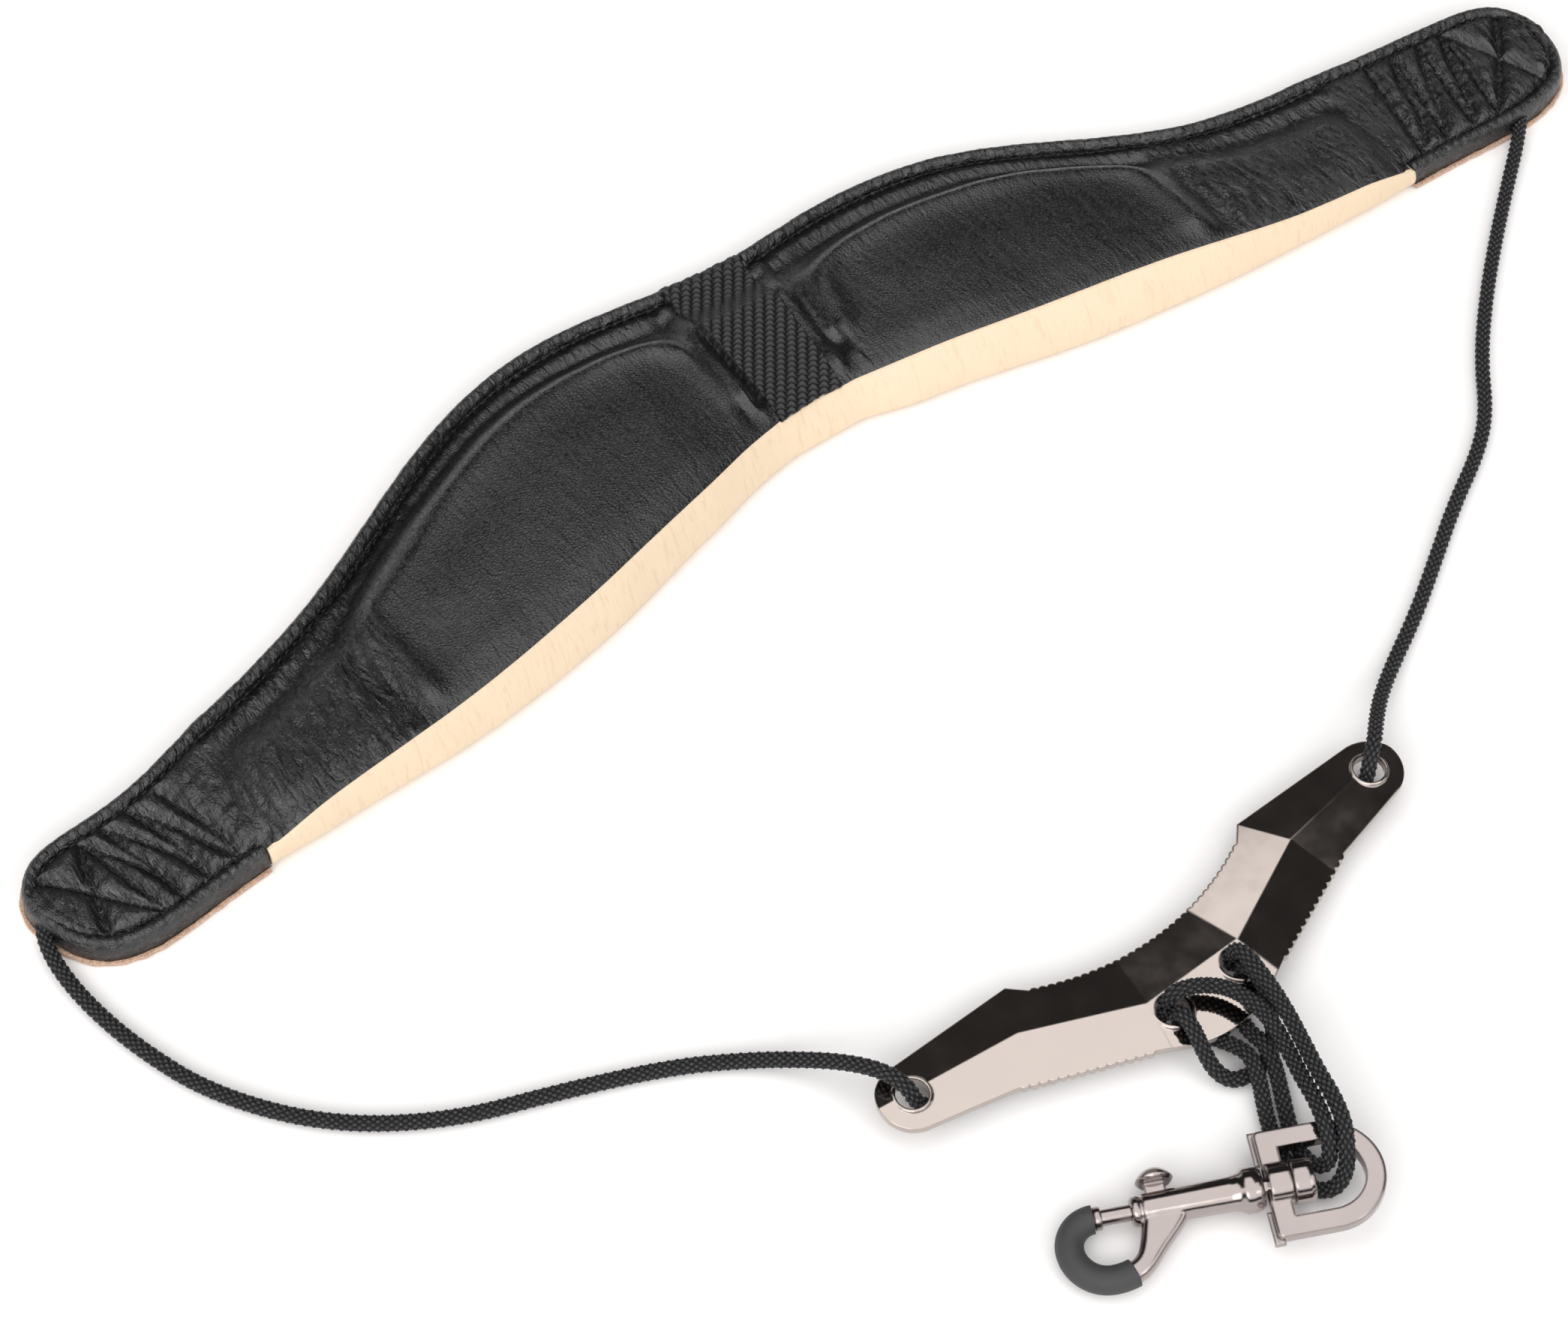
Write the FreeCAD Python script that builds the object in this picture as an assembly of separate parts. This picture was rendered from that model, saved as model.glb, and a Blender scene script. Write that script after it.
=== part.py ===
import FreeCAD, Part
import math
import os

# Saxophone neck strap, lying on a table. +Z is up, +X runs along the pad,
# the hook is on the -Y side. All sizes are in millimetres.

Vector = FreeCAD.Vector

# ---------------------------------------------------------------- driving sizes
CORD_D = 3.6                 # braided cord
CORD_CHANNEL = 0.1           # room round the cord inside the tongues
LEATHER = 1.2                # top leather and lining
TONGUE_TOP = 6.4             # top of the flat sewn tongues
BINDING_W = 4.0              # folded edge binding
LINING_REVEAL = 0.9          # cut edge of the lining that shows round a tongue

LEFT_NOTCH = -183.5          # where the padded lobes end and the tongues begin
RIGHT_NOTCH = 173.0
WEB_LEFT = -16.0             # the webbing across the middle
WEB_RIGHT = 6.0
CORE_SPLIT = -5.0            # the two foam cores meet under the webbing
STATIONS = 14                # cross-sections along each lobe
SPARE = 1.0                  # drawn below the resting surface, then trimmed flat
RIM_Z = 4.6                  # top leather where the binding covers its edge
SHELF = (9.0, 5.3)           # end of the flat strip beside it: inset from the far edge, height
CROWN = [(13.0, 0.46), (21.0, 0.88)]    # inset, and share of the section's full height
CROWN_NEAR = 9.0             # full height ends this far from the seam
SEAM_DROP = 1.0              # the seam is this much lower
FOOT_ROUND = 4.0             # the near side rolls under by this much
BELLY_Z = 3.0                # it stands out farthest at this height

YOKE_ORIGIN = Vector(-28.75, -91.86, 0)
YOKE_ANGLE = 4.0
YOKE_T = 1.8                 # plate thickness
YOKE_CREST = 9.3             # top of the folded ridge
INNER_HOLE = Vector(9.7, 0, 0)
OUTER_HOLE = Vector(68.7, 19.1, 0)
INNER_HOLE_R = 3.9
OUTER_HOLE_R = 3.7
TIP_R = 8.2

HOOK_ORIGIN = Vector(-75.2, -125.5, 4.88)    # front of the barrel's collar
HOOK_YAW = -25.2
HOOK_PITCH = 5.16
HOOK_ROLL = 2.3
SLEEVE_R = 3.15
CORE_R = 2.2
PLUNGER_R = 1.8
PISTON_R = 2.3
BORE_R = 2.36
POST_R = 2.0
RUNNING_FIT = 0.06

# Bow of the hook, from the tip that the bolt meets, in the hook's own axes.
SLEEVE_START = Vector(-8.2, 0, 0)
SLEEVE_SIDE = Vector(-14.5, -6.3, 0)
SLEEVE_BOTTOM = Vector(-6.5, -14.3, 0)
TAIL_R = 14.0
TAIL_TURN = math.radians(18.7)
BLADE_T = 4.4
BLADE_ROUND = 1.9

RING_T = 3.2
RING_HALF = 12.7
RING_OPENING_HALF = 8.3
BAR_FRONT = 29.4
BAR_BACK = 34.1
RING_ARC_CENTRE = 42.9
BOSS_R = 4.7
RIVET_HEAD_R = 5.0

# Pad outline: (x, y) along the far edge, and along the seam of the near side.
FAR_EDGE = [(-205.5, 91), (-179.5, 100), (-141.5, 115), (-101.5, 138), (-81.5, 148),
            (-61.5, 153.4), (-41.5, 154.6), (-16, 152), (-4.5, 151), (6, 151.1),
            (33.5, 154.1), (53.5, 153.6), (73.5, 150.1), (93.5, 141.1), (113.5, 130.6),
            (133.5, 122.1), (153.5, 118.6), (188.5, 115)]
SEAM = [(-183.5, 57), (-161.5, 59.6), (-121.5, 64), (-81.5, 73), (-61.5, 79), (-41.5, 85),
        (-23.5, 91), (-4.5, 94), (16.5, 91.6), (53.5, 85.6), (93.5, 80.6), (133.5, 74.6),
        (173, 73)]
# How far the foot of the near side stands out from the seam, and the pad's height.
FOOT_OUT = [(-183.5, 1), (-161.5, 2.2), (-121.5, 4.5), (-81.5, 5.5), (-41.5, 4.5), (-16, 5),
            (-4.5, 6), (6, 5), (16.5, 6.5), (33.5, 6), (73.5, 7.5), (93.5, 7), (113.5, 5),
            (133.5, 2.5), (173, 1)]
HEIGHT = [(-183.5, 8), (-176, 10), (-161.5, 11.5), (-121.5, 14), (-81.5, 15), (-61.5, 15),
          (-41.5, 14.5), (-16, 13), (6, 13), (33.5, 15), (73.5, 15), (93.5, 14.5),
          (113.5, 13.5), (133.5, 12), (153.5, 11), (166, 10), (173, 8)]
# Tongues, from the far edge round the tip to the near side.
LEFT_TONGUE = [(-165, 105.5), (-183.5, 98.4), (-205.5, 91), (-220.5, 89), (-230.5, 86),
               (-236.3, 77), (-234.5, 67), (-229.5, 58), (-221.5, 53.5), (-210.5, 53),
               (-197.5, 55), (-183.5, 57), (-165, 59.5)]
RIGHT_TONGUE = [(155, 118), (173, 116.5), (188.5, 115), (203, 114.2), (217.5, 113.2),
                (230, 109.6), (236.3, 100), (235.5, 88), (231, 80), (222, 75), (210.5, 73),
                (190, 73), (173, 73), (155, 73.4)]

# Cord routes, chosen by hand: one continuous cord in four stretches.
CORD_LEFT = [(-221, 86.5, 3.3), (-228.5, 80.5, 3.3), (-234.2, 73, 3.35), (-237.0, 63.5, 3.0),
             (-236.0, 49.5, 1.9), (-231.7, 31.9, 1.85), (-223.4, 11.9, 1.85),
             (-206.5, -8.7, 1.85), (-183.9, -23.0, 1.85), (-158.8, -30.8, 1.85),
             (-136, -39.2, 1.85), (-121.5, -47.4, 2.4), (-112.2, -55.4, 5.2),
             (-105.8, -63.4, 9.4), (-101.4, -71.0, 12.3), (-98.9, -76.6, 10.9),
             (-97.9, -78.8, 5.2), (-93.2, -80.6, 2.2), (-80, -84.3, 1.85),
             (-64.5, -87.6, 1.85), (-52.5, -89.9, 1.85), (-46, -90.7, 1.9),
             (-41.3, -90.7, 2.3), (-38.55, -90.62, 4.9), (-38.55, -90.62, 8.1)]
CORD_RIGHT = [(220.5, 86, 3.3), (214.5, 77.5, 3.4), (205.5, 68.6, 3.0), (194.7, 59.8, 1.9),
              (178.2, 46.0, 1.85), (162.2, 31.6, 1.85), (147.5, 16.6, 1.85),
              (136.3, 1.6, 1.85), (125.8, -7.0, 1.85), (110.5, -16.0, 1.85),
              (95.5, -26.4, 1.85), (80.6, -36.6, 1.85), (65.5, -45.4, 2.4),
              (55.6, -52.2, 5.4), (48.4, -58.6, 9.2), (42.6, -64.2, 12.3),
              (38.8, -67.4, 10.9), (37.6, -68.7, 5.2), (32.9, -70.4, 2.2),
              (18.5, -75.4, 1.85), (3.5, -80.6, 1.85), (-8.5, -85.2, 1.85),
              (-13.6, -87.6, 1.95), (-17.2, -88.9, 3.0), (-19.2, -89.3, 5.2),
              (-19.2, -89.3, 8.1)]
LOOP_INNER = [(-38.55, -90.62, 8.3), (-38.5, -90.7, 11.4), (-36.0, -91.5, 13.6),
              (-31.4, -93.2, 13.4), (-27.0, -96.6, 13.0), (-24.3, -102.1, 12.4),
              (-23.4, -108.8, 11.2), (-24.7, -115.8, 10.6), (-26.8, -123.0, 11.2),
              (-28.6, -129.4, 13.0), (-30.9, -135.8, 13.5), (-32.6, -139.8, 11.2),
              (-33.8, -141.2, 7.6), (-35.2, -139.2, 4.4), (-35.3, -134.9, 2.9),
              (-33.8, -130.2, 2.1), (-31.7, -125.6, 1.95), (-29.1, -120.2, 2.8),
              (-26.9, -114.6, 5.3), (-26.0, -109.8, 6.3), (-25.9, -105.2, 3.9),
              (-24.8, -101.0, 2.5), (-22.6, -97.3, 2.35), (-20.1, -94.4, 3.2),
              (-18.95, -93.15, 5.6), (-18.95, -93.15, 11.5), (-18.6, -98.9, 11.1),
              (-19.8, -103.2, 9.5), (-21.4, -106.8, 6.6), (-23.2, -110.2, 3.5),
              (-26.2, -112.3, 1.95), (-30.2, -112.6, 1.85)]
LOOP_OUTER = [(-19.2, -89.3, 8.3), (-19.2, -89.4, 11.7), (-19.2, -91.9, 14.6),
              (-19.3, -96.6, 15.2), (-19.6, -102.8, 14.8), (-20.3, -109.4, 13.8),
              (-21.8, -116.8, 13.0), (-23.9, -124.2, 13.5), (-25.7, -131.8, 14.8),
              (-27.9, -138.2, 14.7), (-30.3, -142.4, 12.3), (-32.0, -145.0, 8.0),
              (-34.9, -145.7, 4.4), (-37.6, -143.4, 2.2), (-38.6, -139.2, 1.85),
              (-38.9, -134.0, 1.85), (-37.7, -128.4, 1.9), (-35.0, -121.9, 2.6),
              (-31.9, -115.6, 5.1), (-30.5, -110.6, 6.3), (-30.6, -106.0, 3.9),
              (-32.3, -101.8, 2.5), (-35.0, -98.2, 2.35), (-37.2, -95.8, 3.2),
              (-38.3, -94.5, 5.6), (-38.3, -94.5, 11.5), (-38.7, -100.2, 11.0),
              (-39.2, -104.6, 8.2), (-38.7, -108.6, 4.6), (-36.4, -111.4, 2.2),
              (-33.4, -112.5, 1.85), (-30.6, -112.6, 1.85)]

os.makedirs("parts", exist_ok=True)


def export(name, shape):
    """Write one named piece."""
    shape.exportStep("parts/" + name + ".step")
    print(name, "solids", len(shape.Solids), "valid", shape.isValid(),
          "volume", round(shape.Volume, 1))


def fuse(shapes):
    """One solid out of several that touch."""
    return shapes[0].multiFuse(shapes[1:]).removeSplitter()


def largest(shape):
    """The largest solid of a shape, without the slivers beside it."""
    return max(shape.Solids, key=lambda solid: solid.Volume)


# ---------------------------------------------------------------- cords
def route_edges(points):
    """Straight runs joined by tangent arcs, and the radius of each arc."""
    corners = [Vector(*p) for p in points]
    edges = []
    radii = []
    start = corners[0]
    for before, corner, after in zip(corners, corners[1:], corners[2:]):
        incoming = (corner - before).normalize()
        outgoing = (after - corner).normalize()
        half_turn = incoming.getAngle(outgoing) / 2
        shorter = min((corner - before).Length, (after - corner).Length)
        trim = 0.45 * shorter
        radius = trim / math.tan(half_turn)
        inward = (outgoing - incoming).normalize()
        middle = corner + inward * (radius / math.cos(half_turn) - radius)
        first = corner - incoming * trim
        last = corner + outgoing * trim
        edges.append(Part.LineSegment(start, first).toShape())
        edges.append(Part.Arc(first, middle, last).toShape())
        radii.append(radius)
        start = last
    edges.append(Part.LineSegment(start, corners[-1]).toShape())
    return edges, radii


def tube(points, radius):
    """Round tube along a route of points."""
    edges, radii = route_edges(points)
    path = Part.Wire(edges)
    direction = Vector(*points[1]) - Vector(*points[0])
    ring = Part.Wire([Part.makeCircle(radius, Vector(*points[0]), direction)])
    solid = path.makePipeShell([ring], True, False)
    return solid, path.Length, radii


def cord(name, points):
    """One stretch of the cord, with its radii and volume printed."""
    solid, length, radii = tube(points, CORD_D / 2)
    ideal = math.pi * (CORD_D / 2) ** 2 * length
    print(name, "length", round(length, 1), "volume ratio", round(solid.Volume / ideal, 4),
          "radii", [round(r, 1) for r in radii])
    return solid


# ---------------------------------------------------------------- pad
def smooth(points, x):
    """Value at x of the smooth curve through (x, value) points."""
    xs = [p[0] for p in points]
    ys = [p[1] for p in points]
    if x <= xs[0]:
        return ys[0]
    if x >= xs[-1]:
        return ys[-1]
    i = max(k for k in range(len(xs) - 1) if xs[k] <= x)
    slopes = [(ys[k + 1] - ys[k]) / (xs[k + 1] - xs[k]) for k in range(len(xs) - 1)]
    left = slopes[i] if i == 0 else (slopes[i - 1] + slopes[i]) / 2
    right = slopes[i] if i == len(slopes) - 1 else (slopes[i] + slopes[i + 1]) / 2
    step = xs[i + 1] - xs[i]
    t = (x - xs[i]) / step
    return ((2 * t ** 3 - 3 * t ** 2 + 1) * ys[i] + (t ** 3 - 2 * t ** 2 + t) * step * left
            + (3 * t ** 2 - 2 * t ** 3) * ys[i + 1] + (t ** 3 - t ** 2) * step * right)


class Section:
    """Cross-section of the padded part at one x, as named rows of (y, z) points.

    Outer rows are the surfaces that show; inner rows lie one leather's thickness within."""

    def __init__(self, x):
        self.x = x
        far = smooth(FAR_EDGE, x)
        seam = smooth(SEAM, x)
        foot = seam - smooth(FOOT_OUT, x)
        top = smooth(HEIGHT, x)
        rim = far - BINDING_W
        crown = [(far - inset, share * top) for inset, share in CROWN]
        self.top_outer = ([(rim, RIM_Z), (far - SHELF[0], SHELF[1])] + crown
                          + [(seam + CROWN_NEAR, top), (seam, top - SEAM_DROP)])
        self.top_inner = [(y, z - LEATHER) for y, z in self.top_outer[:-1]]
        self.top_inner.append((seam + 1.6, top - 1.9))
        under = FOOT_ROUND * (1 + SPARE / BELLY_Z)
        self.wall_outer = [(foot + under, -SPARE), (foot, BELLY_Z),
                           (foot + 0.3 * (seam - foot), 0.6 * top)]
        self.wall_inner = [(foot + 4.5, LEATHER), (foot + 1.25, 3.4),
                           (foot + 0.3 * (seam - foot) + 1.2, 0.6 * top - 0.1)]
        self.rim_outer = [(far - 3.4, 5.5), (far - 1.2, 5.1), (far, 3.6)]
        self.far = far
        self.rim = rim
        if x in (LEFT_NOTCH, RIGHT_NOTCH):
            self.flatten(seam)

    def flatten(self, seam):
        """At a notch the section is as flat as the tongue that it joins."""
        under = TONGUE_TOP - LEATHER
        self.top_outer = [(y, TONGUE_TOP) for y, z in self.top_outer]
        self.top_inner = [(y, under) for y, z in self.top_inner[:-1]]
        self.top_inner.append((seam + LEATHER, under))
        self.wall_outer = [(seam + 1.5 + SPARE, -SPARE), (seam, 1.5), (seam, 4)]
        self.wall_inner = [(seam + 1.9, LEATHER), (seam + LEATHER, 1.9), (seam + LEATHER, 4)]
        self.rim_outer = [(y, TONGUE_TOP) for y, z in self.rim_outer]

    def wire(self, rows):
        """Closed polygon at this x."""
        points = [Vector(self.x, y, z) for y, z in rows]
        return Part.makePolygon(points + points[:1])

    def top_leather(self):
        return self.wire(self.top_outer + self.top_inner[::-1])

    def webbing(self):
        rows = self.rim_outer[::-1] + self.top_outer + self.top_inner[::-1]
        return self.wire([(self.far, LEATHER)] + rows + [(self.rim, LEATHER)])

    def binding(self):
        rows = [(self.far, LEATHER)] + self.rim_outer[::-1]
        return self.wire(rows + [self.top_outer[0], (self.rim, LEATHER)])

    def lining(self):
        outer = [(self.far, -SPARE)] + self.wall_outer + [self.top_outer[-1]]
        inner = [self.top_inner[-1]] + self.wall_inner[::-1]
        return self.wire(outer + inner + [(self.rim, LEATHER), (self.far, LEATHER)])

    def foam(self):
        return self.wire(self.top_inner + self.wall_inner[::-1] + [(self.rim, LEATHER)])


def spread(start, end, count):
    """Evenly spaced places from start to end."""
    return [start + (end - start) * i / (count - 1) for i in range(count)]


def loft(wires):
    """Solid through flat sections."""
    return Part.makeLoft(wires, True, True)


def tongue(points, notch, grow, bottom, top):
    """Flat slab of a tongue's outline, grown or shrunk sideways, cut off at the notch."""
    curve = Part.BSplineCurve()
    curve.interpolate([Vector(x, y, 0) for x, y in points])
    side = 1 if notch < 0 else -1
    moved = []
    count = 48
    for i in range(count + 1):
        t = curve.FirstParameter + (curve.LastParameter - curve.FirstParameter) * i / count
        along = curve.tangent(t)[0]
        outward = Vector(-along.y, along.x, 0) * side
        moved.append(curve.value(t) - outward * grow)
    edge = Part.BSplineCurve()
    edge.interpolate(moved)
    closing = Part.LineSegment(moved[-1], moved[0])
    face = Part.Face(Part.Wire([edge.toShape(), closing.toShape()]))
    slab = face.extrude(Vector(0, 0, top - bottom))
    slab.translate(Vector(0, 0, bottom))
    start = notch - 100 if notch < 0 else notch
    keep = Part.makeBox(100, 200, 40, Vector(start, 0, -10))
    return slab.common(keep)


def pad_pieces():
    """Everything that is sewn together as the padded band."""
    left = [Section(x) for x in spread(LEFT_NOTCH, WEB_LEFT, STATIONS)]
    middle = [Section(x) for x in (WEB_LEFT, CORE_SPLIT, WEB_RIGHT)]
    right = [Section(x) for x in spread(WEB_RIGHT, RIGHT_NOTCH, STATIONS)]
    pieces = {}
    under = TONGUE_TOP - LEATHER
    shrink = -BINDING_W
    sides = [("left", LEFT_TONGUE, LEFT_NOTCH, left, left + middle[1:2], CORD_LEFT),
             ("right", RIGHT_TONGUE, RIGHT_NOTCH, right, middle[1:2] + right, CORD_RIGHT)]
    slabs = []
    for side, outline, notch, stations, core_stations, route in sides:
        channel = tube(route[:5], CORD_D / 2 + CORD_CHANNEL)[0]
        top = tongue(outline, notch, shrink, under, TONGUE_TOP)
        body = loft([s.top_leather() for s in stations])
        pieces["top_leather_" + side] = fuse([body, top])
        filler = tongue(outline, notch, shrink, LEATHER, under)
        pieces["tongue_filler_" + side] = largest(filler.cut(channel))
        whole = tongue(outline, notch, 0, LEATHER, TONGUE_TOP)
        strip = whole.cut(tongue(outline, notch, shrink, 0, TONGUE_TOP + 1))
        edge = loft([s.binding() for s in stations])
        pieces["edge_binding_" + side] = fuse([strip, edge]).cut(channel)
        pieces["foam_core_" + side] = loft([s.foam() for s in core_stations])
        slabs.append(tongue(outline, notch, LINING_REVEAL, 0, LEATHER))
    pieces["centre_webbing"] = loft([s.webbing() for s in middle])
    wall = loft([s.lining() for s in left + middle[1:2] + right])
    below = Part.makeBox(600, 400, 2 * SPARE, Vector(-300, -100, -2 * SPARE))
    pieces["lining_leather"] = fuse([wall.cut(below)] + slabs)
    return pieces


# ---------------------------------------------------------------- yoke
def bumps(start, end, count, height):
    """Row of small round bumps between two points, standing out to the left."""
    edges = []
    step = (end - start) / count
    outward = Vector(-step.y, step.x, 0).normalize() * height
    for i in range(count):
        first = start + step * i
        last = first + step
        edges.append(Part.Arc(first, (first + last) / 2 + outward, last).toShape())
    return edges


def yoke_outline():
    """Plate outline from the middle of the lower edge to the right, in the yoke's own axes."""
    bottom = Vector(0, -11.5, 0)
    heel = Vector(12, -8.9, 0)
    teeth_start = Vector(19.3, -5.3, 0)
    teeth_end = Vector(48.5, 6.3, 0)
    slope = math.radians(12.8)
    tip_low = OUTER_HOLE + Vector(math.sin(slope), -math.cos(slope), 0) * TIP_R
    tip_end = OUTER_HOLE + Vector(TIP_R, 0, 0)
    tip_top = OUTER_HOLE + Vector(0, TIP_R, 0)
    shoulder = Vector(35, 27.5, 0)
    notch = Vector(31.2, 23.6, 0)
    right = [Part.LineSegment(heel, teeth_start).toShape()]
    right += bumps(teeth_end, teeth_start, 14, 0.55)
    right.append(Part.LineSegment(teeth_end, tip_low).toShape())
    right.append(Part.Arc(tip_low, tip_end, tip_top).toShape())
    right.append(Part.LineSegment(tip_top, shoulder).toShape())
    right.append(Part.LineSegment(shoulder, notch).toShape())
    left = [edge.mirror(Vector(0, 0, 0), Vector(1, 0, 0)) for edge in right]
    lower = Part.Arc(Vector(-12, -8.9, 0), bottom, heel).toShape()
    throat = []
    count = 32
    radius = 71.5
    centre = Vector(0, 16.4 + radius, 0)
    half = math.asin(notch.x / radius)
    for i in range(count):
        angles = [-half + 2 * half * (i + k) / count for k in (0, 0.5, 1)]
        reach = [radius, radius - 0.55, radius]
        marks = [centre + Vector(math.sin(a), -math.cos(a), 0) * r
                 for a, r in zip(angles, reach)]
        throat.append(Part.Arc(*marks).toShape())
    join = Part.LineSegment(notch, centre + Vector(math.sin(half), -math.cos(half), 0) * radius)
    if join.length() > 0.01:
        right.append(join.toShape())
        left.append(right[-1].mirror(Vector(0, 0, 0), Vector(1, 0, 0)))
    edges = right + left + [lower] + throat
    return Part.Wire(Part.__sortEdges__(edges))


def facet(outline, plane):
    """Flat leaf of the folded plate: its plan outline, and three points of its top plane."""
    a, b, c = [Vector(*p) for p in plane]
    normal = (b - a).cross(c - a)
    top = []
    for x, y in outline:
        z = a.z - (normal.x * (x - a.x) + normal.y * (y - a.y)) / normal.z
        top.append(Vector(x, y, z))
    face = Part.Face(Part.makePolygon(top + top[:1]))
    return face.extrude(Vector(0, 0, -YOKE_T))


def folded_leaves():
    """Leaves of the folded plate, right half and middle, with the left half mirrored."""
    crest = YOKE_CREST
    upper_edge = crest - 2.0
    knee = (41, 16.2)
    far = (95, 22.8)
    near = (13.5, 4.2)
    shoulder = (32.5, 32.5)
    throat = (8.6, 28)
    heel = (18.8, -20)
    wing_low = (46.5, -8)
    top_right = (95, 45)
    low_right = (95, -8)
    a, b, c = (*near, crest), (*knee, crest), (*far, crest)
    fold_up = (*shoulder, upper_edge - 0.65)
    fold_low = (*wing_low, crest - 3.35)
    throat_mark = (*throat, crest - 3.5)
    heel_mark = (*heel, crest - 3.4)
    leaves = [facet([knee, far, top_right, (32.5, 45), shoulder], (b, c, fold_up)),
              facet([knee, far, low_right, wing_low], (b, c, fold_low)),
              facet([near, knee, shoulder, (32.5, 45), (3, 45), throat], (a, b, fold_up)),
              facet([near, knee, wing_low, heel], (a, b, fold_low))]
    mirrored = [leaf.mirror(Vector(0, 0, 0), Vector(1, 0, 0)) for leaf in leaves]
    other = (-near[0], near[1], crest)
    middle = [facet([near, throat, (-throat[0], throat[1]), (-near[0], near[1])],
                    (a, other, throat_mark)),
              facet([near, heel, (-heel[0], heel[1]), (-near[0], near[1])],
                    (a, other, heel_mark))]
    return leaves + mirrored + middle


def yoke_plate():
    """Folded metal plate with four rimmed holes."""
    plan = Part.Face(yoke_outline()).extrude(Vector(0, 0, 20))
    plate = fuse(folded_leaves()).common(plan)
    rims = []
    holes = []
    for centre, hole, width, height in ((INNER_HOLE, INNER_HOLE_R, 1.3, 8.3),
                                        (OUTER_HOLE, OUTER_HOLE_R, 1.0, 8.9)):
        for side in (1, -1):
            place = Vector(centre.x * side, centre.y, 0)
            around = hole + width / 2 - 0.1
            rims.append(Part.makeTorus(around, width / 2, place + Vector(0, 0, height)))
            holes.append(Part.makeCylinder(hole, 20, place))
    plate = plate.multiFuse(rims).cut(Part.makeCompound(holes))
    plate.rotate(Vector(0, 0, 0), Vector(0, 0, 1), YOKE_ANGLE)
    plate.translate(YOKE_ORIGIN)
    return plate


# ---------------------------------------------------------------- snap hook and ring
# Built along +X from the front of the barrel's collar, thumb knob towards +Y.
def turned(profile):
    """Solid turned about the X axis from (x, radius) points."""
    points = [Vector(x, r, 0) for x, r in profile]
    ends = [Vector(profile[-1][0], 0, 0), Vector(profile[0][0], 0, 0)]
    face = Part.Face(Part.makePolygon(points + ends + points[:1]))
    return face.revolve(Vector(0, 0, 0), Vector(1, 0, 0), 360)


def rod(radius, start, end):
    """Cylinder along X."""
    return Part.makeCylinder(radius, end - start, Vector(start, 0, 0), Vector(1, 0, 0))


def hook_bow(radius):
    """Round bar along the bow of the hook."""
    diagonal = math.sqrt(0.5)
    corner = SLEEVE_START.x - SLEEVE_SIDE.x
    upper = Vector(SLEEVE_START.x, SLEEVE_SIDE.y, 0)
    first = Part.Arc(SLEEVE_START, upper + Vector(-diagonal, diagonal, 0) * corner, SLEEVE_SIDE)
    round_r = SLEEVE_BOTTOM.x - SLEEVE_SIDE.x
    lower = Vector(SLEEVE_BOTTOM.x, SLEEVE_SIDE.y, 0)
    second = Part.Arc(SLEEVE_SIDE, lower - Vector(diagonal, diagonal, 0) * round_r,
                      SLEEVE_BOTTOM)
    centre = SLEEVE_BOTTOM + Vector(0, TAIL_R, 0)
    marks = [centre + Vector(math.sin(a), -math.cos(a), 0) * TAIL_R
             for a in (TAIL_TURN / 2, TAIL_TURN)]
    third = Part.Arc(SLEEVE_BOTTOM, marks[0], marks[1])
    path = Part.Wire([arc.toShape() for arc in (first, second, third)])
    ring = Part.Wire([Part.makeCircle(radius, SLEEVE_START, Vector(-1, 0, 0))])
    return path.makePipeShell([ring], True, False), marks[1]


def blade(tail):
    """Curved web from the bow to the barrel."""
    across = Vector(math.sin(TAIL_TURN), -math.cos(TAIL_TURN), 0)
    along = Vector(math.cos(TAIL_TURN), math.sin(TAIL_TURN), 0)
    outer_start = tail + across * 2.5
    inner_start = tail - across * 2.4
    outer = Part.BSplineCurve()
    outer.interpolate([outer_start, Vector(5.8, -10.1, 0), Vector(12.4, -2.6, 0)],
                      InitialTangent=along, FinalTangent=Vector(0.5, 0.87, 0))
    inner = Part.BSplineCurve()
    inner.interpolate([inner_start, Vector(0.5, -7.3, 0), Vector(1.9, -2.6, 0)],
                      InitialTangent=along, FinalTangent=Vector(0.3, 0.95, 0))
    edges = [outer.toShape(), inner.toShape(),
             Part.LineSegment(outer_start, inner_start).toShape(),
             Part.LineSegment(Vector(12.4, -2.6, 0), Vector(1.9, -2.6, 0)).toShape()]
    face = Part.Face(Part.Wire(Part.__sortEdges__(edges)))
    web = face.extrude(Vector(0, 0, BLADE_T))
    web.translate(Vector(0, 0, -BLADE_T / 2))
    long_edges = [edge for edge in web.Edges
                  if abs(edge.BoundBox.ZLength) < 0.01 and edge.Length > 6
                  and edge.BoundBox.YLength > 5]
    return web.makeFillet(BLADE_ROUND, long_edges)


def hook_body():
    """Barrel, blade, bow core and its tip in one casting, bored for the bolt."""
    barrel = turned([(0, 2.5), (0.25, 3.05), (0.8, 3.35), (1.7, 3.35), (2.1, 3.05),
                     (2.5, 3.05), (2.9, 3.45), (22, 3.85), (23.6, 4.2), (24.9, 5.0),
                     (26.6, 5.0), (28, 4.7), (28.8, 4.1)])
    core, tail = hook_bow(CORE_R)
    tip = turned([(-8.2, 2.2), (-8.0, 2.2), (-7.9, 2.6), (-6.6, 2.6), (-6.4, 2.3)])
    body = fuse([barrel, blade(tail), core, tip])
    body = body.cut(rod(PLUNGER_R + RUNNING_FIT, -7.1, 2.5))
    body = body.cut(rod(BORE_R, 2.3, 22))
    body = body.cut(rod(POST_R, 21.9, 30))
    return body.cut(Part.makeBox(11.3, 8, 2.2, Vector(3.7, 0, -1.1)))


def hook_sleeve():
    """Soft sleeve over the bow."""
    return hook_bow(SLEEVE_R)[0].cut(hook_bow(CORE_R)[0])


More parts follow.
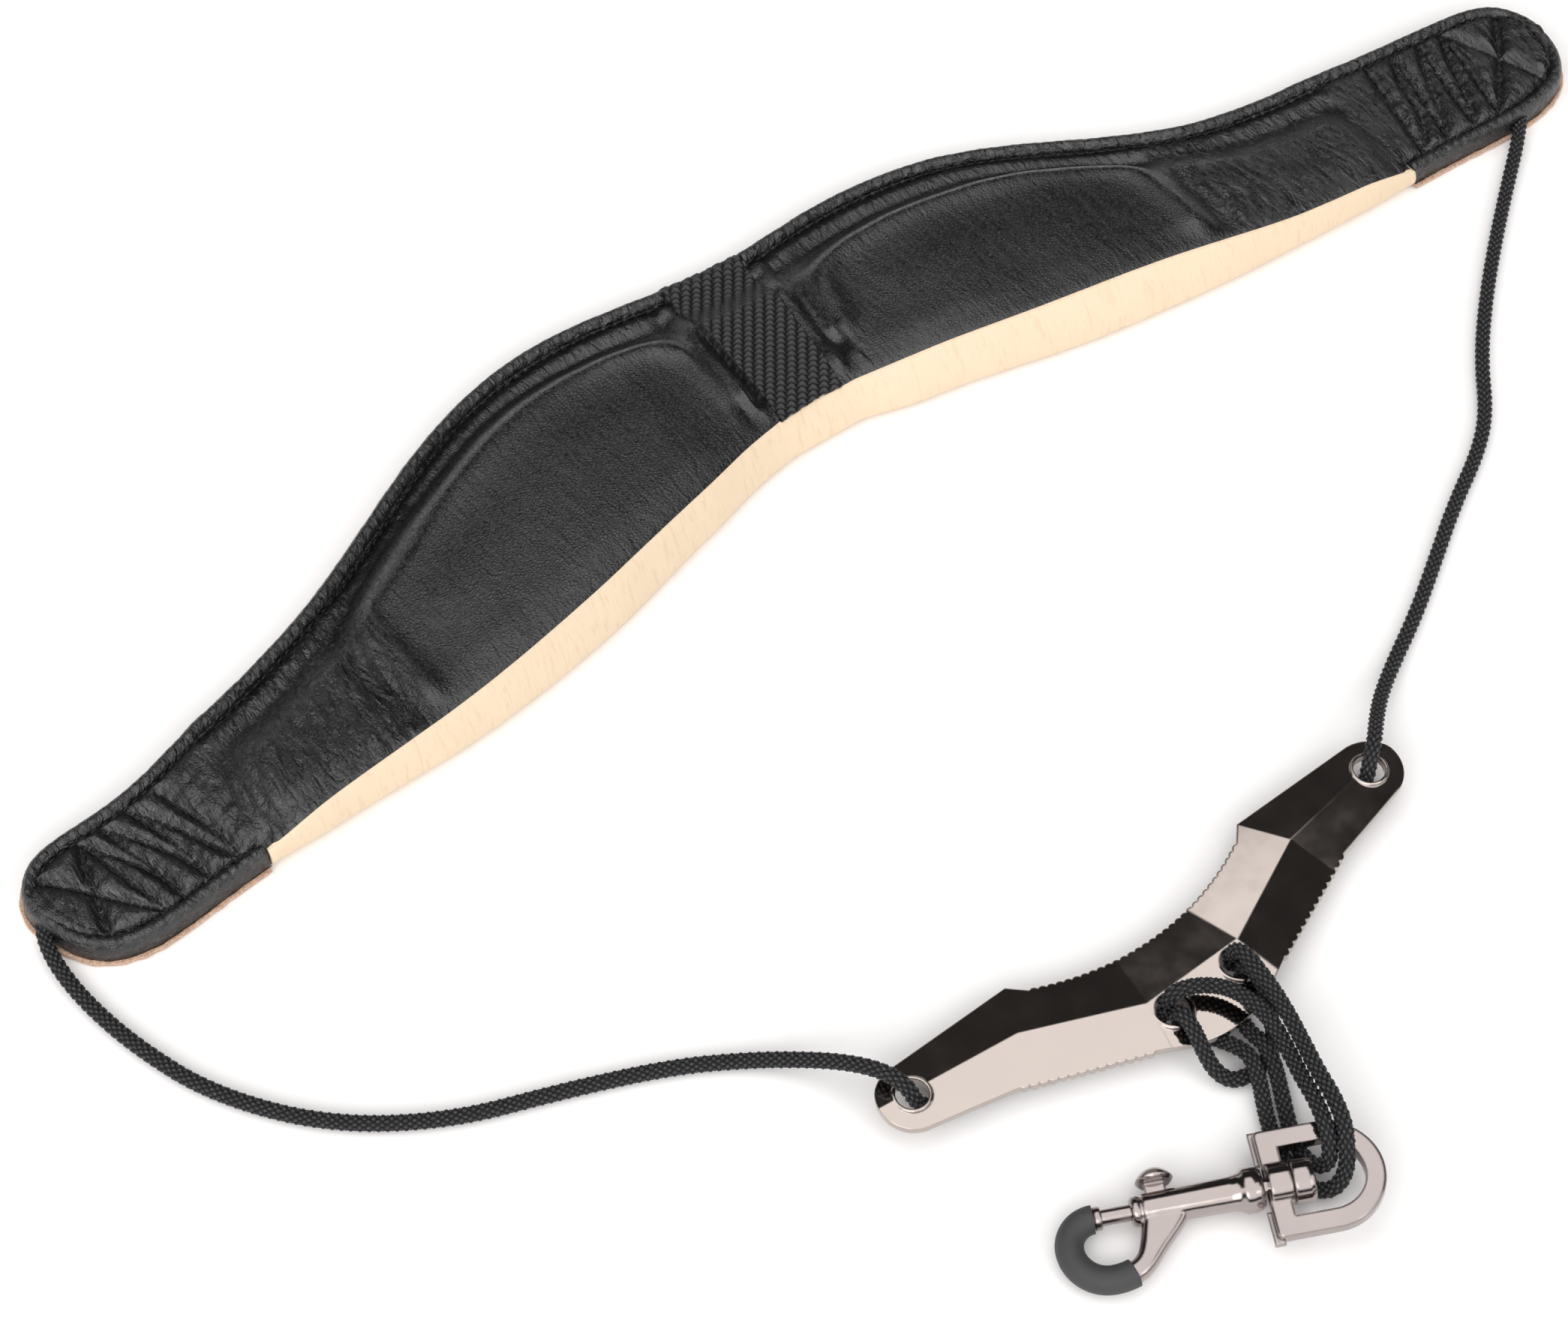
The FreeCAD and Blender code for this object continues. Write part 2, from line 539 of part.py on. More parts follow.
def bolt():
    """Plunger with its piston and a pocket for the knob's stem."""
    body = turned([(-6.95, 1.4), (-6.6, PLUNGER_R), (2.4, PLUNGER_R), (2.4, PISTON_R),
                   (10.2, PISTON_R), (10.2, 1.2), (11.6, 1.2)])
    return body.cut(Part.makeBox(4.5, 4, 2.0, Vector(4.0, 0.6, -1.0)))


def thumb_knob():
    """Flat stem and a domed button."""
    stem = Part.makeBox(4.5, 5.6, 2.0, Vector(4.0, 0.6, -1.0))
    dome_r = 4.6
    centre = Vector(0, 4.4, 0)
    low, high = [math.radians(a) for a in (24, 57)]
    edge = centre + Vector(math.cos(low), math.sin(low), 0) * dome_r
    middle = centre + Vector(math.cos(high), math.sin(high), 0) * dome_r
    crown = centre + Vector(0, dome_r, 0)
    under = Vector(edge.x - 0.6, 5.6, 0)
    flat = [Part.LineSegment(Vector(0, 5.6, 0), under), Part.LineSegment(under, edge),
            Part.Arc(edge, middle, crown), Part.LineSegment(crown, Vector(0, 5.6, 0))]
    face = Part.Face(Part.Wire([line.toShape() for line in flat]))
    cap = face.revolve(Vector(0, 0, 0), Vector(0, 1, 0), 360)
    cap.translate(Vector(6.5, 0, 0))
    return fuse([stem, cap])


def bolt_spring():
    """Coil spring between the piston and the rivet."""
    pitch = 1.9
    turns = 6
    mean = 1.85
    wire_r = 0.26
    helix = Part.makeHelix(pitch, pitch * turns, mean)
    ring = Part.Wire([Part.makeCircle(wire_r, Vector(mean, 0, 0), Vector(0, 1, 0))])
    coil = Part.Wire(helix).makePipeShell([ring], True, True)
    coil.rotate(Vector(0, 0, 0), Vector(0, 1, 0), 90)
    coil.translate(Vector(10.2 + wire_r + 0.02, 0, 0))
    return coil


def swivel_rivet():
    """Post fixed in the barrel, with the head that keeps the ring on."""
    return turned([(22, POST_R), (35.2, POST_R), (35.2, 4.7), (35.5, RIVET_HEAD_R),
                   (38.7, RIVET_HEAD_R), (39.7, 4.6), (40.1, 3.8)])


def ring_outline(front, back, half, arc_centre):
    """Straight-sided ring with a half-round end, as a flat face."""
    corner = 1.2
    low = Vector(front, -half, 0)
    high = Vector(front, half, 0)
    diagonal = corner * (1 - math.sqrt(0.5))
    edges = [Part.LineSegment(low + Vector(0, corner, 0), high - Vector(0, corner, 0)),
             Part.Arc(high - Vector(0, corner, 0), high + Vector(diagonal, -diagonal, 0),
                      high + Vector(corner, 0, 0)),
             Part.LineSegment(high + Vector(corner, 0, 0), Vector(arc_centre, half, 0)),
             Part.Arc(Vector(arc_centre, half, 0), Vector(back, 0, 0),
                      Vector(arc_centre, -half, 0)),
             Part.LineSegment(Vector(arc_centre, -half, 0), low + Vector(corner, 0, 0)),
             Part.Arc(low + Vector(corner, 0, 0), low + Vector(diagonal, diagonal, 0),
                      low + Vector(0, corner, 0))]
    return Part.Face(Part.Wire([edge.toShape() for edge in edges]))


def d_ring():
    """Cast ring: cross bar with its boss, two arms and a round end."""
    end = RING_ARC_CENTRE + RING_HALF
    outer = ring_outline(BAR_FRONT, end, RING_HALF, RING_ARC_CENTRE)
    body = outer.extrude(Vector(0, 0, RING_T))
    body.translate(Vector(0, 0, -RING_T / 2))
    rims = [edge for edge in body.Edges if edge.BoundBox.ZLength < 0.01]
    body = body.makeFillet(0.6, rims)
    inner_end = RING_ARC_CENTRE + RING_OPENING_HALF
    opening = Part.makeBox(RING_ARC_CENTRE - BAR_BACK, 2 * RING_OPENING_HALF, 10,
                           Vector(BAR_BACK, -RING_OPENING_HALF, -5))
    round_end = Part.makeCylinder(inner_end - RING_ARC_CENTRE, 10,
                                  Vector(RING_ARC_CENTRE, 0, -5))
    body = body.cut(fuse([opening, round_end]))
    shape = [body, rod(BOSS_R, 30.1, 34.9)]
    for side in (1, -1):
        low = 5.6 if side > 0 else -13.4
        flange = Part.makeBox(2.4, 7.8, 1.1, Vector(28.5, low, -RING_T / 2))
        shape.append(flange)
    return fuse(shape).cut(rod(POST_R + RUNNING_FIT, 25, 36))


def place_hook(shape, roll):
    """Lay a hook or ring piece down where it belongs."""
    turn = FreeCAD.Rotation(HOOK_YAW, -HOOK_PITCH, roll)
    shape.Placement = FreeCAD.Placement(HOOK_ORIGIN, turn).multiply(shape.Placement)
    return shape


def main():
    for name, shape in pad_pieces().items():
        export(name, shape)
    export("yoke_plate", yoke_plate())
    hook_parts = {"hook_body": hook_body, "hook_sleeve": hook_sleeve, "bolt": bolt,
                  "thumb_knob": thumb_knob, "bolt_spring": bolt_spring,
                  "swivel_rivet": swivel_rivet}
    for name, make in hook_parts.items():
        export(name, place_hook(make(), HOOK_ROLL))
    export("d_ring", place_hook(d_ring(), 0))
    routes = {"cord_left": CORD_LEFT, "cord_right": CORD_RIGHT, "loop_inner": LOOP_INNER,
              "loop_outer": LOOP_OUTER}
    for name, points in routes.items():
        export(name, cord(name, points))


main()
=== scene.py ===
"""Looks of a saxophone neck strap: padded leather band, braided cord, folded metal
adjuster and a snap hook on a swivel ring. Metres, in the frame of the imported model."""
import math
from contextlib import contextmanager

import bmesh
import bpy
import numpy as np
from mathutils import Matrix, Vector


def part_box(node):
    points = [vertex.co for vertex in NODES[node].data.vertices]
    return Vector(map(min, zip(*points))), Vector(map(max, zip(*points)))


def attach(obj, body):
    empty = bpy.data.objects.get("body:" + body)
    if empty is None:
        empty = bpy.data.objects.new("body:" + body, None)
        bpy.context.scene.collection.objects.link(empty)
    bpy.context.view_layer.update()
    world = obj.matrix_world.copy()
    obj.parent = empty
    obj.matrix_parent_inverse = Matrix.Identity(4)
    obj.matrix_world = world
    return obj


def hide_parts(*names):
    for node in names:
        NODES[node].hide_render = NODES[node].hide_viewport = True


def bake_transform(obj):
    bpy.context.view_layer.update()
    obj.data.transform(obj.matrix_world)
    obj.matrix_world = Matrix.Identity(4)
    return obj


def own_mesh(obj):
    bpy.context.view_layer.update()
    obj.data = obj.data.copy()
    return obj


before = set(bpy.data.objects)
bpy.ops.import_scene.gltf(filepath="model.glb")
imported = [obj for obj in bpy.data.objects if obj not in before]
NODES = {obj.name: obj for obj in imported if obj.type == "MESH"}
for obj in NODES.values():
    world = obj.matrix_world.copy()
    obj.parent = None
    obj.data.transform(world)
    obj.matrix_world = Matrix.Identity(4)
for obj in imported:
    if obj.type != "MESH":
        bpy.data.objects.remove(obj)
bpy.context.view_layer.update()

# ---- driving sizes, metres
TENTHS = 10000  # tenths of a millimetre in a metre
CORD_D = 0.0036
CORD_CARRIERS = 7  # strands that run each way round the braid
BRAID_PITCH = 0.014  # one turn of a strand along the cord
BINDING_W = 0.0040
LEATHER = 0.0012
LOBE_EDGE_TOP = 0.0053
TONGUE_TOP = 0.0064
RIM_STEP = 0.0006
STITCH_PITCH = 0.0030
STITCH_R = 0.00030
KNOT_ACROSS = 0.0027  # one knot of the webbing across its columns, and along them
KNOT_ALONG = 0.0018
KNOT_LEAN = math.radians(34)

# Pairs for the left and the right half of the band.
NOTCH = (-0.1835, 0.1730)  # the padded lobes end here and the tongues begin
WEB_FAR = (-0.0155, 0.0084)  # the webbing's sides at the far edge, then at the seam
WEB_NEAR = (-0.0173, 0.0024)
WEB_SPAN = (0.093, 0.150)  # y of the seam and of the far edge at the webbing
WEB_LIMITS = (-0.0158, 0.0058)  # between these the CAD webbing is cut to read the band
LOBE_END = (-0.0160, 0.0060)  # inner end of each lobe's outline
LEATHER_LIMITS = (-0.0161, 0.0061)  # inner end of each top leather in the CAD
LEATHER_END = (-0.0125, -0.0005)  # the leather goes on under the webbing up to here
GATHER_START = (0.133, 0.117)  # distance from x = 0 where the fine gathers begin
GATHER_LEAN = (0.30, 0.15)

HOOK_AT = (-0.0752, -0.1255, 0.00488)  # on the swivel axis, where the hook's body starts
HOOK_YAW = math.radians(-25.2)
HOOK_TILT = math.radians(5.16)
SPRING_FOOT = 0.02188  # end of the coil on the rivet, along the swivel axis
SPRING_LENGTH = 0.0114
SPRING_TURNS = 6
SPRING_R = 0.00185
SPRING_WIRE_R = 0.00026

LENS = 79.3
CAMERA_AT = (-0.3243, -0.3595, 0.6760)
CAMERA_AIM = (-0.0529, 0.0391, 0)
FLOOR_HALF = 6.0
FLOOR_DROP = 0.0003  # keeps the floor clear of the pieces that lie on it
SOFT_BOX = 1.65  # brightness of the soft box, and of the dark room round it
DARK_ROOM = 0.035
BOX_RIGHT = (0.455, 0.535)  # where its soft edges lie, as x/z, y/z and z of the direction
BOX_FAR = (0.735, 0.785)
BOX_LOW = (0.30, 0.44)
PALE_HORIZON = 0.6  # share of the soft box's brightness

# Edge of the foam under each lobe, in tenths of a millimetre, from the webbing along the far
# side to the near seam.
FOAM = ([
    (-200, 1080), (-215, 1260), (-300, 1345), (-460, 1375), (-575, 1380), (-700, 1365),
    (-790, 1340), (-890, 1295), (-1000, 1245), (-1100, 1200), (-1205, 1140), (-1300, 1075),
    (-1355, 1015), (-1360, 930), (-1345, 815), (-1315, 560)], [
    (120, 1120), (150, 1260), (220, 1335), (330, 1360), (480, 1360), (645, 1330), (810, 1295),
    (950, 1245), (1035, 1195), (1090, 1140), (1110, 1060), (1115, 955), (1115, 700)])


# ---- camera, light, floor
def aimed(name, data, place, target):
    """Add a camera or light that looks from place towards target."""
    obj = bpy.data.objects.new(name, data)
    bpy.context.collection.objects.link(obj)
    obj.location = place
    aim = Vector(target) - Vector(place)
    obj.rotation_euler = aim.to_track_quat("-Z", "Y").to_euler()
    return obj


def make_camera():
    data = bpy.data.cameras.new("camera")
    data.lens = LENS
    data.sensor_width = 36
    bpy.context.scene.camera = aimed("camera", data, CAMERA_AT, CAMERA_AIM)


def area_light(name, place, power):
    data = bpy.data.lights.new(name, "AREA")
    data.shape = "RECTANGLE"
    data.size, data.size_y = 1.2, 0.8
    data.energy = power
    aimed(name, data, place, (0, 0, 0))


class Nodes:
    """Short calls for building a node tree."""

    def __init__(self, tree):
        self.tree = tree
        self.link = tree.links.new

    def node(self, kind, vector=None, **numbers):
        """Node with some inputs set by name, and linked to a vector if there is one."""
        node = self.tree.nodes.new("ShaderNode" + kind)
        for name, number in numbers.items():
            node.inputs[name].default_value = number
        if vector is not None:
            self.link(vector, node.inputs["Vector"])
        return node

    def feed(self, value, socket):
        """Give a socket a number, a colour or another node's output."""
        if isinstance(value, tuple):
            socket.default_value = (*value, 1)
        elif isinstance(value, (int, float)):
            socket.default_value = value
        else:
            self.link(value, socket)

    def math(self, operation, *values):
        node = self.node("Math")
        node.operation = operation
        for value, socket in zip(values, node.inputs):
            self.feed(value, socket)
        return node.outputs[0]

    def remap(self, value, *limits, smooth=False):
        """Take a value from low, high to new low, new high."""
        node = self.node("MapRange")
        if smooth:
            node.interpolation_type = "SMOOTHSTEP"
        for name, number in zip(("From Min", "From Max", "To Min", "To Max"), limits):
            node.inputs[name].default_value = number
        self.link(value, node.inputs["Value"])
        return node.outputs[0]


def make_world():
    """One large soft box overhead in a dark room, with a pale band along the horizon."""
    world = bpy.data.worlds.new("studio")
    bpy.context.scene.world = world
    world.use_nodes = True
    world.node_tree.nodes.clear()
    n = Nodes(world.node_tree)
    x, y, z = n.node("SeparateXYZ", n.node("TexCoord").outputs["Generated"]).outputs
    right_side = n.remap(n.math("DIVIDE", x, z), *BOX_RIGHT, 1, 0, smooth=True)
    far_side = n.remap(n.math("DIVIDE", y, z), *BOX_FAR, 1, 0, smooth=True)
    low_side = n.remap(z, *BOX_LOW, smooth=True)
    box = n.math("MULTIPLY", n.math("MULTIPLY", right_side, far_side), low_side)
    horizon = n.remap(z, 0.07, 0.15, PALE_HORIZON, 0, smooth=True)
    lit = n.math("MAXIMUM", box, horizon)
    level = n.remap(lit, 0, 1, DARK_ROOM, SOFT_BOX, smooth=True)
    back = n.node("Background", Color=(1.0, 0.985, 0.98, 1))
    n.link(level, back.inputs["Strength"])
    n.link(back.outputs[0], n.node("OutputWorld").inputs["Surface"])


def make_stage():
    mesh = bpy.data.meshes.new("floor")
    corners = [(x * FLOOR_HALF, y * FLOOR_HALF, 0) for x, y in ((-1, -1), (1, -1), (1, 1), (-1, 1))]
    mesh.from_pydata(corners, [], [(0, 1, 2, 3)])
    floor = bpy.data.objects.new("floor", mesh)
    bpy.context.collection.objects.link(floor)
    floor.location.z = -FLOOR_DROP
    mesh.materials.append(plain_floor())
    area_light("front_left", (-1.1, -0.9, 1.0), 7)
    area_light("front_right", (0.75, -1.15, 0.9), 5)
    bpy.context.scene.view_settings.view_transform = "Standard"


# ---- material helpers
class Material(Nodes):
    """Principled material with short calls for its procedural nodes."""

    def __init__(self, name, roughness=0.5, metallic=0.0, specular=0.5):
        self.data = bpy.data.materials.new(name)
        self.data.use_nodes = True
        super().__init__(self.data.node_tree)
        self.shader = self.tree.nodes["Principled BSDF"]
        self.set("Roughness", roughness)
        self.set("Metallic", metallic)
        self.set("Specular IOR Level", specular)
        self.coords = self.node("TexCoord")
        self.normal = None

    def set(self, socket, value):
        self.shader.inputs[socket].default_value = value

    def place(self, scale, turn=0.0):
        return self.node("Mapping", self.coords.outputs["Object"], Scale=scale,
                         Rotation=(0, 0, turn)).outputs["Vector"]

    def noise(self, scale, detail=3.0, rough=0.55, vector=None, distortion=0.0):
        return self.node("TexNoise", vector or self.coords.outputs["Object"], Scale=scale,
                         Detail=detail, Roughness=rough, Distortion=distortion).outputs["Fac"]

    def cells(self, scale, vector=None, feature="F1"):
        node = self.node("TexVoronoi", vector or self.coords.outputs["Object"], Scale=scale)
        node.feature = feature
        return node.outputs["Distance"]

    def attribute(self, name):
        node = self.node("Attribute")
        node.attribute_name = name
        return node.outputs["Fac"]

    def ramp(self, value, *stops):
        node = self.node("ValToRGB")
        elements = node.color_ramp.elements
        while len(elements) < len(stops):
            elements.new(0.5)
        for element, (place, colour) in zip(elements, stops):
            element.position = place
            element.color = (*colour, 1)
        self.link(value, node.inputs["Fac"])
        return node.outputs["Color"]

    def blend_colours(self, factor, first, second):
        node = self.node("Mix")
        node.data_type = "RGBA"
        self.link(factor, node.inputs["Factor"])
        for name, value in (("A", first), ("B", second)):
            self.feed(value, next(s for s in node.inputs if s.name == name and s.type == "RGBA"))
        return next(s for s in node.outputs if s.type == "RGBA")

    def bump(self, height, distance, strength=1.0):
        node = self.node("Bump", Strength=strength, Distance=distance)
        self.link(height, node.inputs["Height"])
        if self.normal is not None:
            self.link(self.normal, node.inputs["Normal"])
        self.set_normal(node)

    def soft_edges(self, radius):
        node = self.node("Bevel", Radius=radius)
        node.samples = 6
        self.set_normal(node)

    def set_normal(self, node):
        self.normal = node.outputs["Normal"]
        self.link(self.normal, self.shader.inputs["Normal"])

    def colour(self, output):
        self.link(output, self.shader.inputs["Base Color"])

    def roughness(self, output):
        self.link(output, self.shader.inputs["Roughness"])


def plain_floor():
    m = Material("floor_paper", roughness=0.9, specular=0.1)
    m.colour(m.ramp(m.noise(14, 2), (0.3, (0.975, 0.968, 0.962)), (0.7, (0.99, 0.983, 0.978))))
    return m.data


def black_leather(name="black_leather_grain", grain=1.0):
    """Pebbled leather, with creases where the mesh says it is gathered."""
    m = Material(name, roughness=0.28, specular=0.88)
    gathered = m.attribute("gathered")
    stretched = m.place((1.0, 1.35, 1.0), 0.6)
    pebbles = m.math("MINIMUM", m.cells(1000 * grain, stretched, "DISTANCE_TO_EDGE"), 0.30)
    large = m.noise(60)
    creases = m.noise(430, 4, 0.62, m.place((1.0, 0.22, 1.0), 0.45), 0.9)
    worn = m.blend_colours(large, (0.0070, 0.0070, 0.0077), (0.0125, 0.0125, 0.0135))
    # painted shade: colour falls to near black in the crevices between pebbles, over the random
    # two-tone base
    m.colour(m.blend_colours(m.remap(pebbles, 0.0, 0.20), (0.002, 0.002, 0.002), worn))
    m.roughness(m.remap(m.noise(900), 0.3, 0.7, 0.21, 0.34))
    m.bump(pebbles, 0.00028, 0.60)
    m.bump(m.math("MULTIPLY", creases, gathered), 0.0022)
    m.bump(m.noise(3300, 2), 0.00005, 0.6)
    return m.data


def tan_leather():
    m = Material("tan_leather_smooth", specular=0.3)
    wrinkles = m.noise(950, 3, 0.6, m.place((1.0, 0.16, 0.16)), 0.4)
    cloudy = m.noise(45)
    smooth = m.blend_colours(cloudy, (0.80, 0.635, 0.455), (0.84, 0.68, 0.50))
    # painted shade: colour darkens where the wrinkle noise is low, in the troughs that the bump
    # sinks
    m.colour(m.blend_colours(m.remap(wrinkles, 0.34, 0.46), (0.765, 0.60, 0.425), smooth))
    m.roughness(m.remap(m.noise(500, 2), 0.3, 0.7, 0.42, 0.58))
    m.bump(wrinkles, 0.00035, 0.40)
    m.bump(m.cells(1700), 0.00005, 0.5)
    return m.data


def raw_edge():
    """Cut edge of the lining: fuzzy pinkish brown."""
    m = Material("raw_edge_suede", roughness=0.9, specular=0.1)
    fibres = m.noise(1500, 4, 0.7)
    m.colour(m.ramp(fibres, (0.32, (0.36, 0.20, 0.13)), (0.5, (0.58, 0.38, 0.27)),
                    (0.72, (0.76, 0.58, 0.45))))
    m.set("Sheen Weight", 0.3)
    m.bump(fibres, 0.0004, 0.7)
    return m.data


def webbing_weave():
    m = Material("webbing_weave")
    fibres = m.noise(2400, 3, 0.6, m.place((1.0, 0.25, 1.0), -0.6))
    rise = m.attribute("rise")
    yarn = m.blend_colours(fibres, (0.009, 0.009, 0.010), (0.036, 0.036, 0.038))
    # painted shade: colour goes near black where the knots are low, in the gaps between them
    m.colour(m.blend_colours(m.remap(rise, 0.3, 0.85), (0.0008, 0.0008, 0.0008), yarn))
    m.roughness(m.remap(fibres, 0.3, 0.7, 0.42, 0.6))
    m.bump(fibres, 0.00016, 0.8)
    return m.data


def thread():
    m = Material("thread_twist", specular=0.35)
    m.colour(m.ramp(m.noise(2500, 2), (0.4, (0.004, 0.004, 0.004)), (0.7, (0.016, 0.016, 0.018))))
    m.bump(m.noise(5200, 2), 0.00006, 0.8)
    return m.data


def braided_cord():
    m = Material("cord_braid", specular=0.4)
    rise = m.attribute("rise")
    flecks = m.noise(2300, 3, 0.7)
    body = m.ramp(flecks, (0.38, (0.016, 0.016, 0.019)), (0.56, (0.036, 0.038, 0.042)),
                  (0.74, (0.125, 0.130, 0.138)))
    # painted shade: colour goes near black where the braid is low, in the grooves between strands;
    # the light flecks are the yarn's own
    m.colour(m.blend_colours(m.remap(rise, 0.25, 0.8), (0.0010, 0.0010, 0.0013), body))
    m.roughness(m.remap(rise, 0.2, 0.9, 0.75, 0.38))
    m.bump(m.noise(3900, 2), 0.00010, 0.8)
    return m.data


def black_nickel():
    m = Material("black_nickel_polish", roughness=0.07, metallic=1.0)
    film = m.noise(55, 3, 0.5)
    m.colour(m.blend_colours(film, (0.435, 0.385, 0.355), (0.475, 0.42, 0.385)))
    m.roughness(m.remap(m.noise(130, 4, 0.6), 0.3, 0.7, 0.05, 0.10))
    m.soft_edges(0.0006)
    return m.data


def cast_nickel():
    """The same finish on the castings, with their slight waviness."""
    m = Material("black_nickel_cast", roughness=0.1, metallic=1.0)
    film = m.noise(80, 3, 0.5)
    m.colour(m.blend_colours(film, (0.345, 0.305, 0.295), (0.40, 0.355, 0.34)))
    m.roughness(m.remap(m.noise(260, 4, 0.6), 0.3, 0.7, 0.07, 0.15))
    m.soft_edges(0.0009)
    m.bump(m.noise(170, 2), 0.00025, 0.12)
    return m.data


def soft_sleeve():
    m = Material("sleeve_rubber", roughness=0.6, specular=0.3)
    dust = m.noise(700)
    m.colour(m.blend_colours(dust, (0.046, 0.047, 0.049), (0.062, 0.063, 0.065)))
    m.roughness(m.remap(dust, 0.3, 0.7, 0.5, 0.68))
    m.soft_edges(0.0003)
    m.bump(m.noise(1800, 2), 0.00005, 0.5)
    return m.data


def spring_steel():
    m = Material("spring_steel_drawn", roughness=0.28, metallic=1.0)
    drawn = m.noise(900, 2, 0.5, m.place((1, 6, 6)))
    m.colour(m.blend_colours(drawn, (0.42, 0.42, 0.43), (0.55, 0.55, 0.56)))
    return m.data


# ---- mesh helpers
def grid_faces(rows, columns, close=False):
    """Quads of a grid of rows x columns points, the columns joined up if close."""
    across = columns if close else columns - 1
    i, j = np.meshgrid(np.arange(rows - 1), np.arange(across), indexing="ij")
    k = (j + 1) % columns
    quads = [i * columns + j, i * columns + k, (i + 1) * columns + k, (i + 1) * columns + j]
    return np.stack(quads, -1).reshape(-1, 4)


def mesh_object(name, points, faces, material):
    """Smooth object from points, and faces that all have the same number of corners."""
    faces = np.asarray(faces, np.int32)
    points = np.asarray(points, np.float32).reshape(-1, 3)
    mesh = bpy.data.meshes.new(name)
    mesh.vertices.add(len(points))
    mesh.vertices.foreach_set("co", points.ravel())
    mesh.loops.add(faces.size)
    mesh.loops.foreach_set("vertex_index", faces.ravel())
    mesh.polygons.add(len(faces))
    mesh.polygons.foreach_set("loop_start", np.arange(len(faces)) * faces.shape[1])
    mesh.update(calc_edges=True)
    mesh.validate()
    mesh.shade_smooth()
    mesh.materials.append(material)
    obj = bpy.data.objects.new(name, mesh)
    bpy.context.collection.objects.link(obj)
    return obj


def store(obj, name, values):
    """Keep one number per point for the material to read."""
    attribute = obj.data.attributes.new(name, "FLOAT", "POINT")
    attribute.data.foreach_set("value", np.asarray(values, np.float32).ravel())


def ripple(x, y, scale, seed=0.0):
    """Smooth pseudo-random surface made of crossing waves, from -1 to 1."""
    total = np.zeros_like(x)
    rng = np.random.default_rng(int(seed * 10) + 7)
    for _ in range(7):
        angle = rng.uniform(0, math.tau)
        length = scale * rng.uniform(0.6, 1.7)
        phase = rng.uniform(0, math.tau)
        along = x * math.cos(angle) + y * math.sin(angle)
        total += np.sin(math.tau * along / length + phase)
    return total / 4.0


def smoothstep(value, low, high):
    t = np.clip((value - low) / (high - low), 0, 1)
    return t * t * (3 - 2 * t)


def hump(value, centre, width):
    return np.exp(-((value - centre) / width) ** 2)


def segment_distance(x, y, start, end):
    """Distance of each point from the straight line between start and end."""
    start, end = np.array(start, float), np.array(end, float)
    along = end - start
    t = ((x - start[0]) * along[0] + (y - start[1]) * along[1]) / (along @ along)
    t = np.clip(t, 0, 1)
    return np.hypot(x - start[0] - t * along[0], y - start[1] - t * along[1])


def unit(vectors):
    return vectors / np.linalg.norm(vectors, axis=1)[:, None]


def line_distance(x, y, corners):
    """Distance of each point from the line through the corners."""
    best = np.full(x.shape, 9.0)
    for start, end in zip(corners, corners[1:]):
        best = np.minimum(best, segment_distance(x, y, start, end))
    return best


def resample(points, step):
    """Points every step along a line."""
    points = np.asarray(points, float)
    lengths = np.r_[0, np.cumsum(np.linalg.norm(np.diff(points, axis=0), axis=1))]
    places = np.linspace(0, lengths[-1], max(2, int(round(lengths[-1] / step)) + 1))
    return np.stack([np.interp(places, lengths, column) for column in points.T], -1)


@contextmanager
def edited(obj):
    """The object's mesh as a bmesh, written back at the end."""
    work = bmesh.new()
    work.from_mesh(obj.data)
    work.verts.ensure_lookup_table()
    yield work
    work.to_mesh(obj.data)
    work.free()


def soften(values, reach):
    """Running average that keeps both ends."""
    kernel = np.hanning(2 * reach + 3)[1:-1]
    kernel /= kernel.sum()
    values = np.asarray(values, float)
    pad = [(reach, reach)] + [(0, 0)] * (values.ndim - 1)
    wide = np.pad(values, pad, mode="edge")
    flat = wide.reshape(len(wide), -1)
    out = np.stack([np.convolve(flat[:, k], kernel, "valid") for k in range(flat.shape[1])], -1)
    out = out.reshape(values.shape)
    blend = np.minimum(np.arange(len(values)), np.arange(len(values))[::-1])
    blend = np.clip(blend / reach, 0, 1).reshape([-1] + [1] * (values.ndim - 1))
    return out * blend + values * (1 - blend)


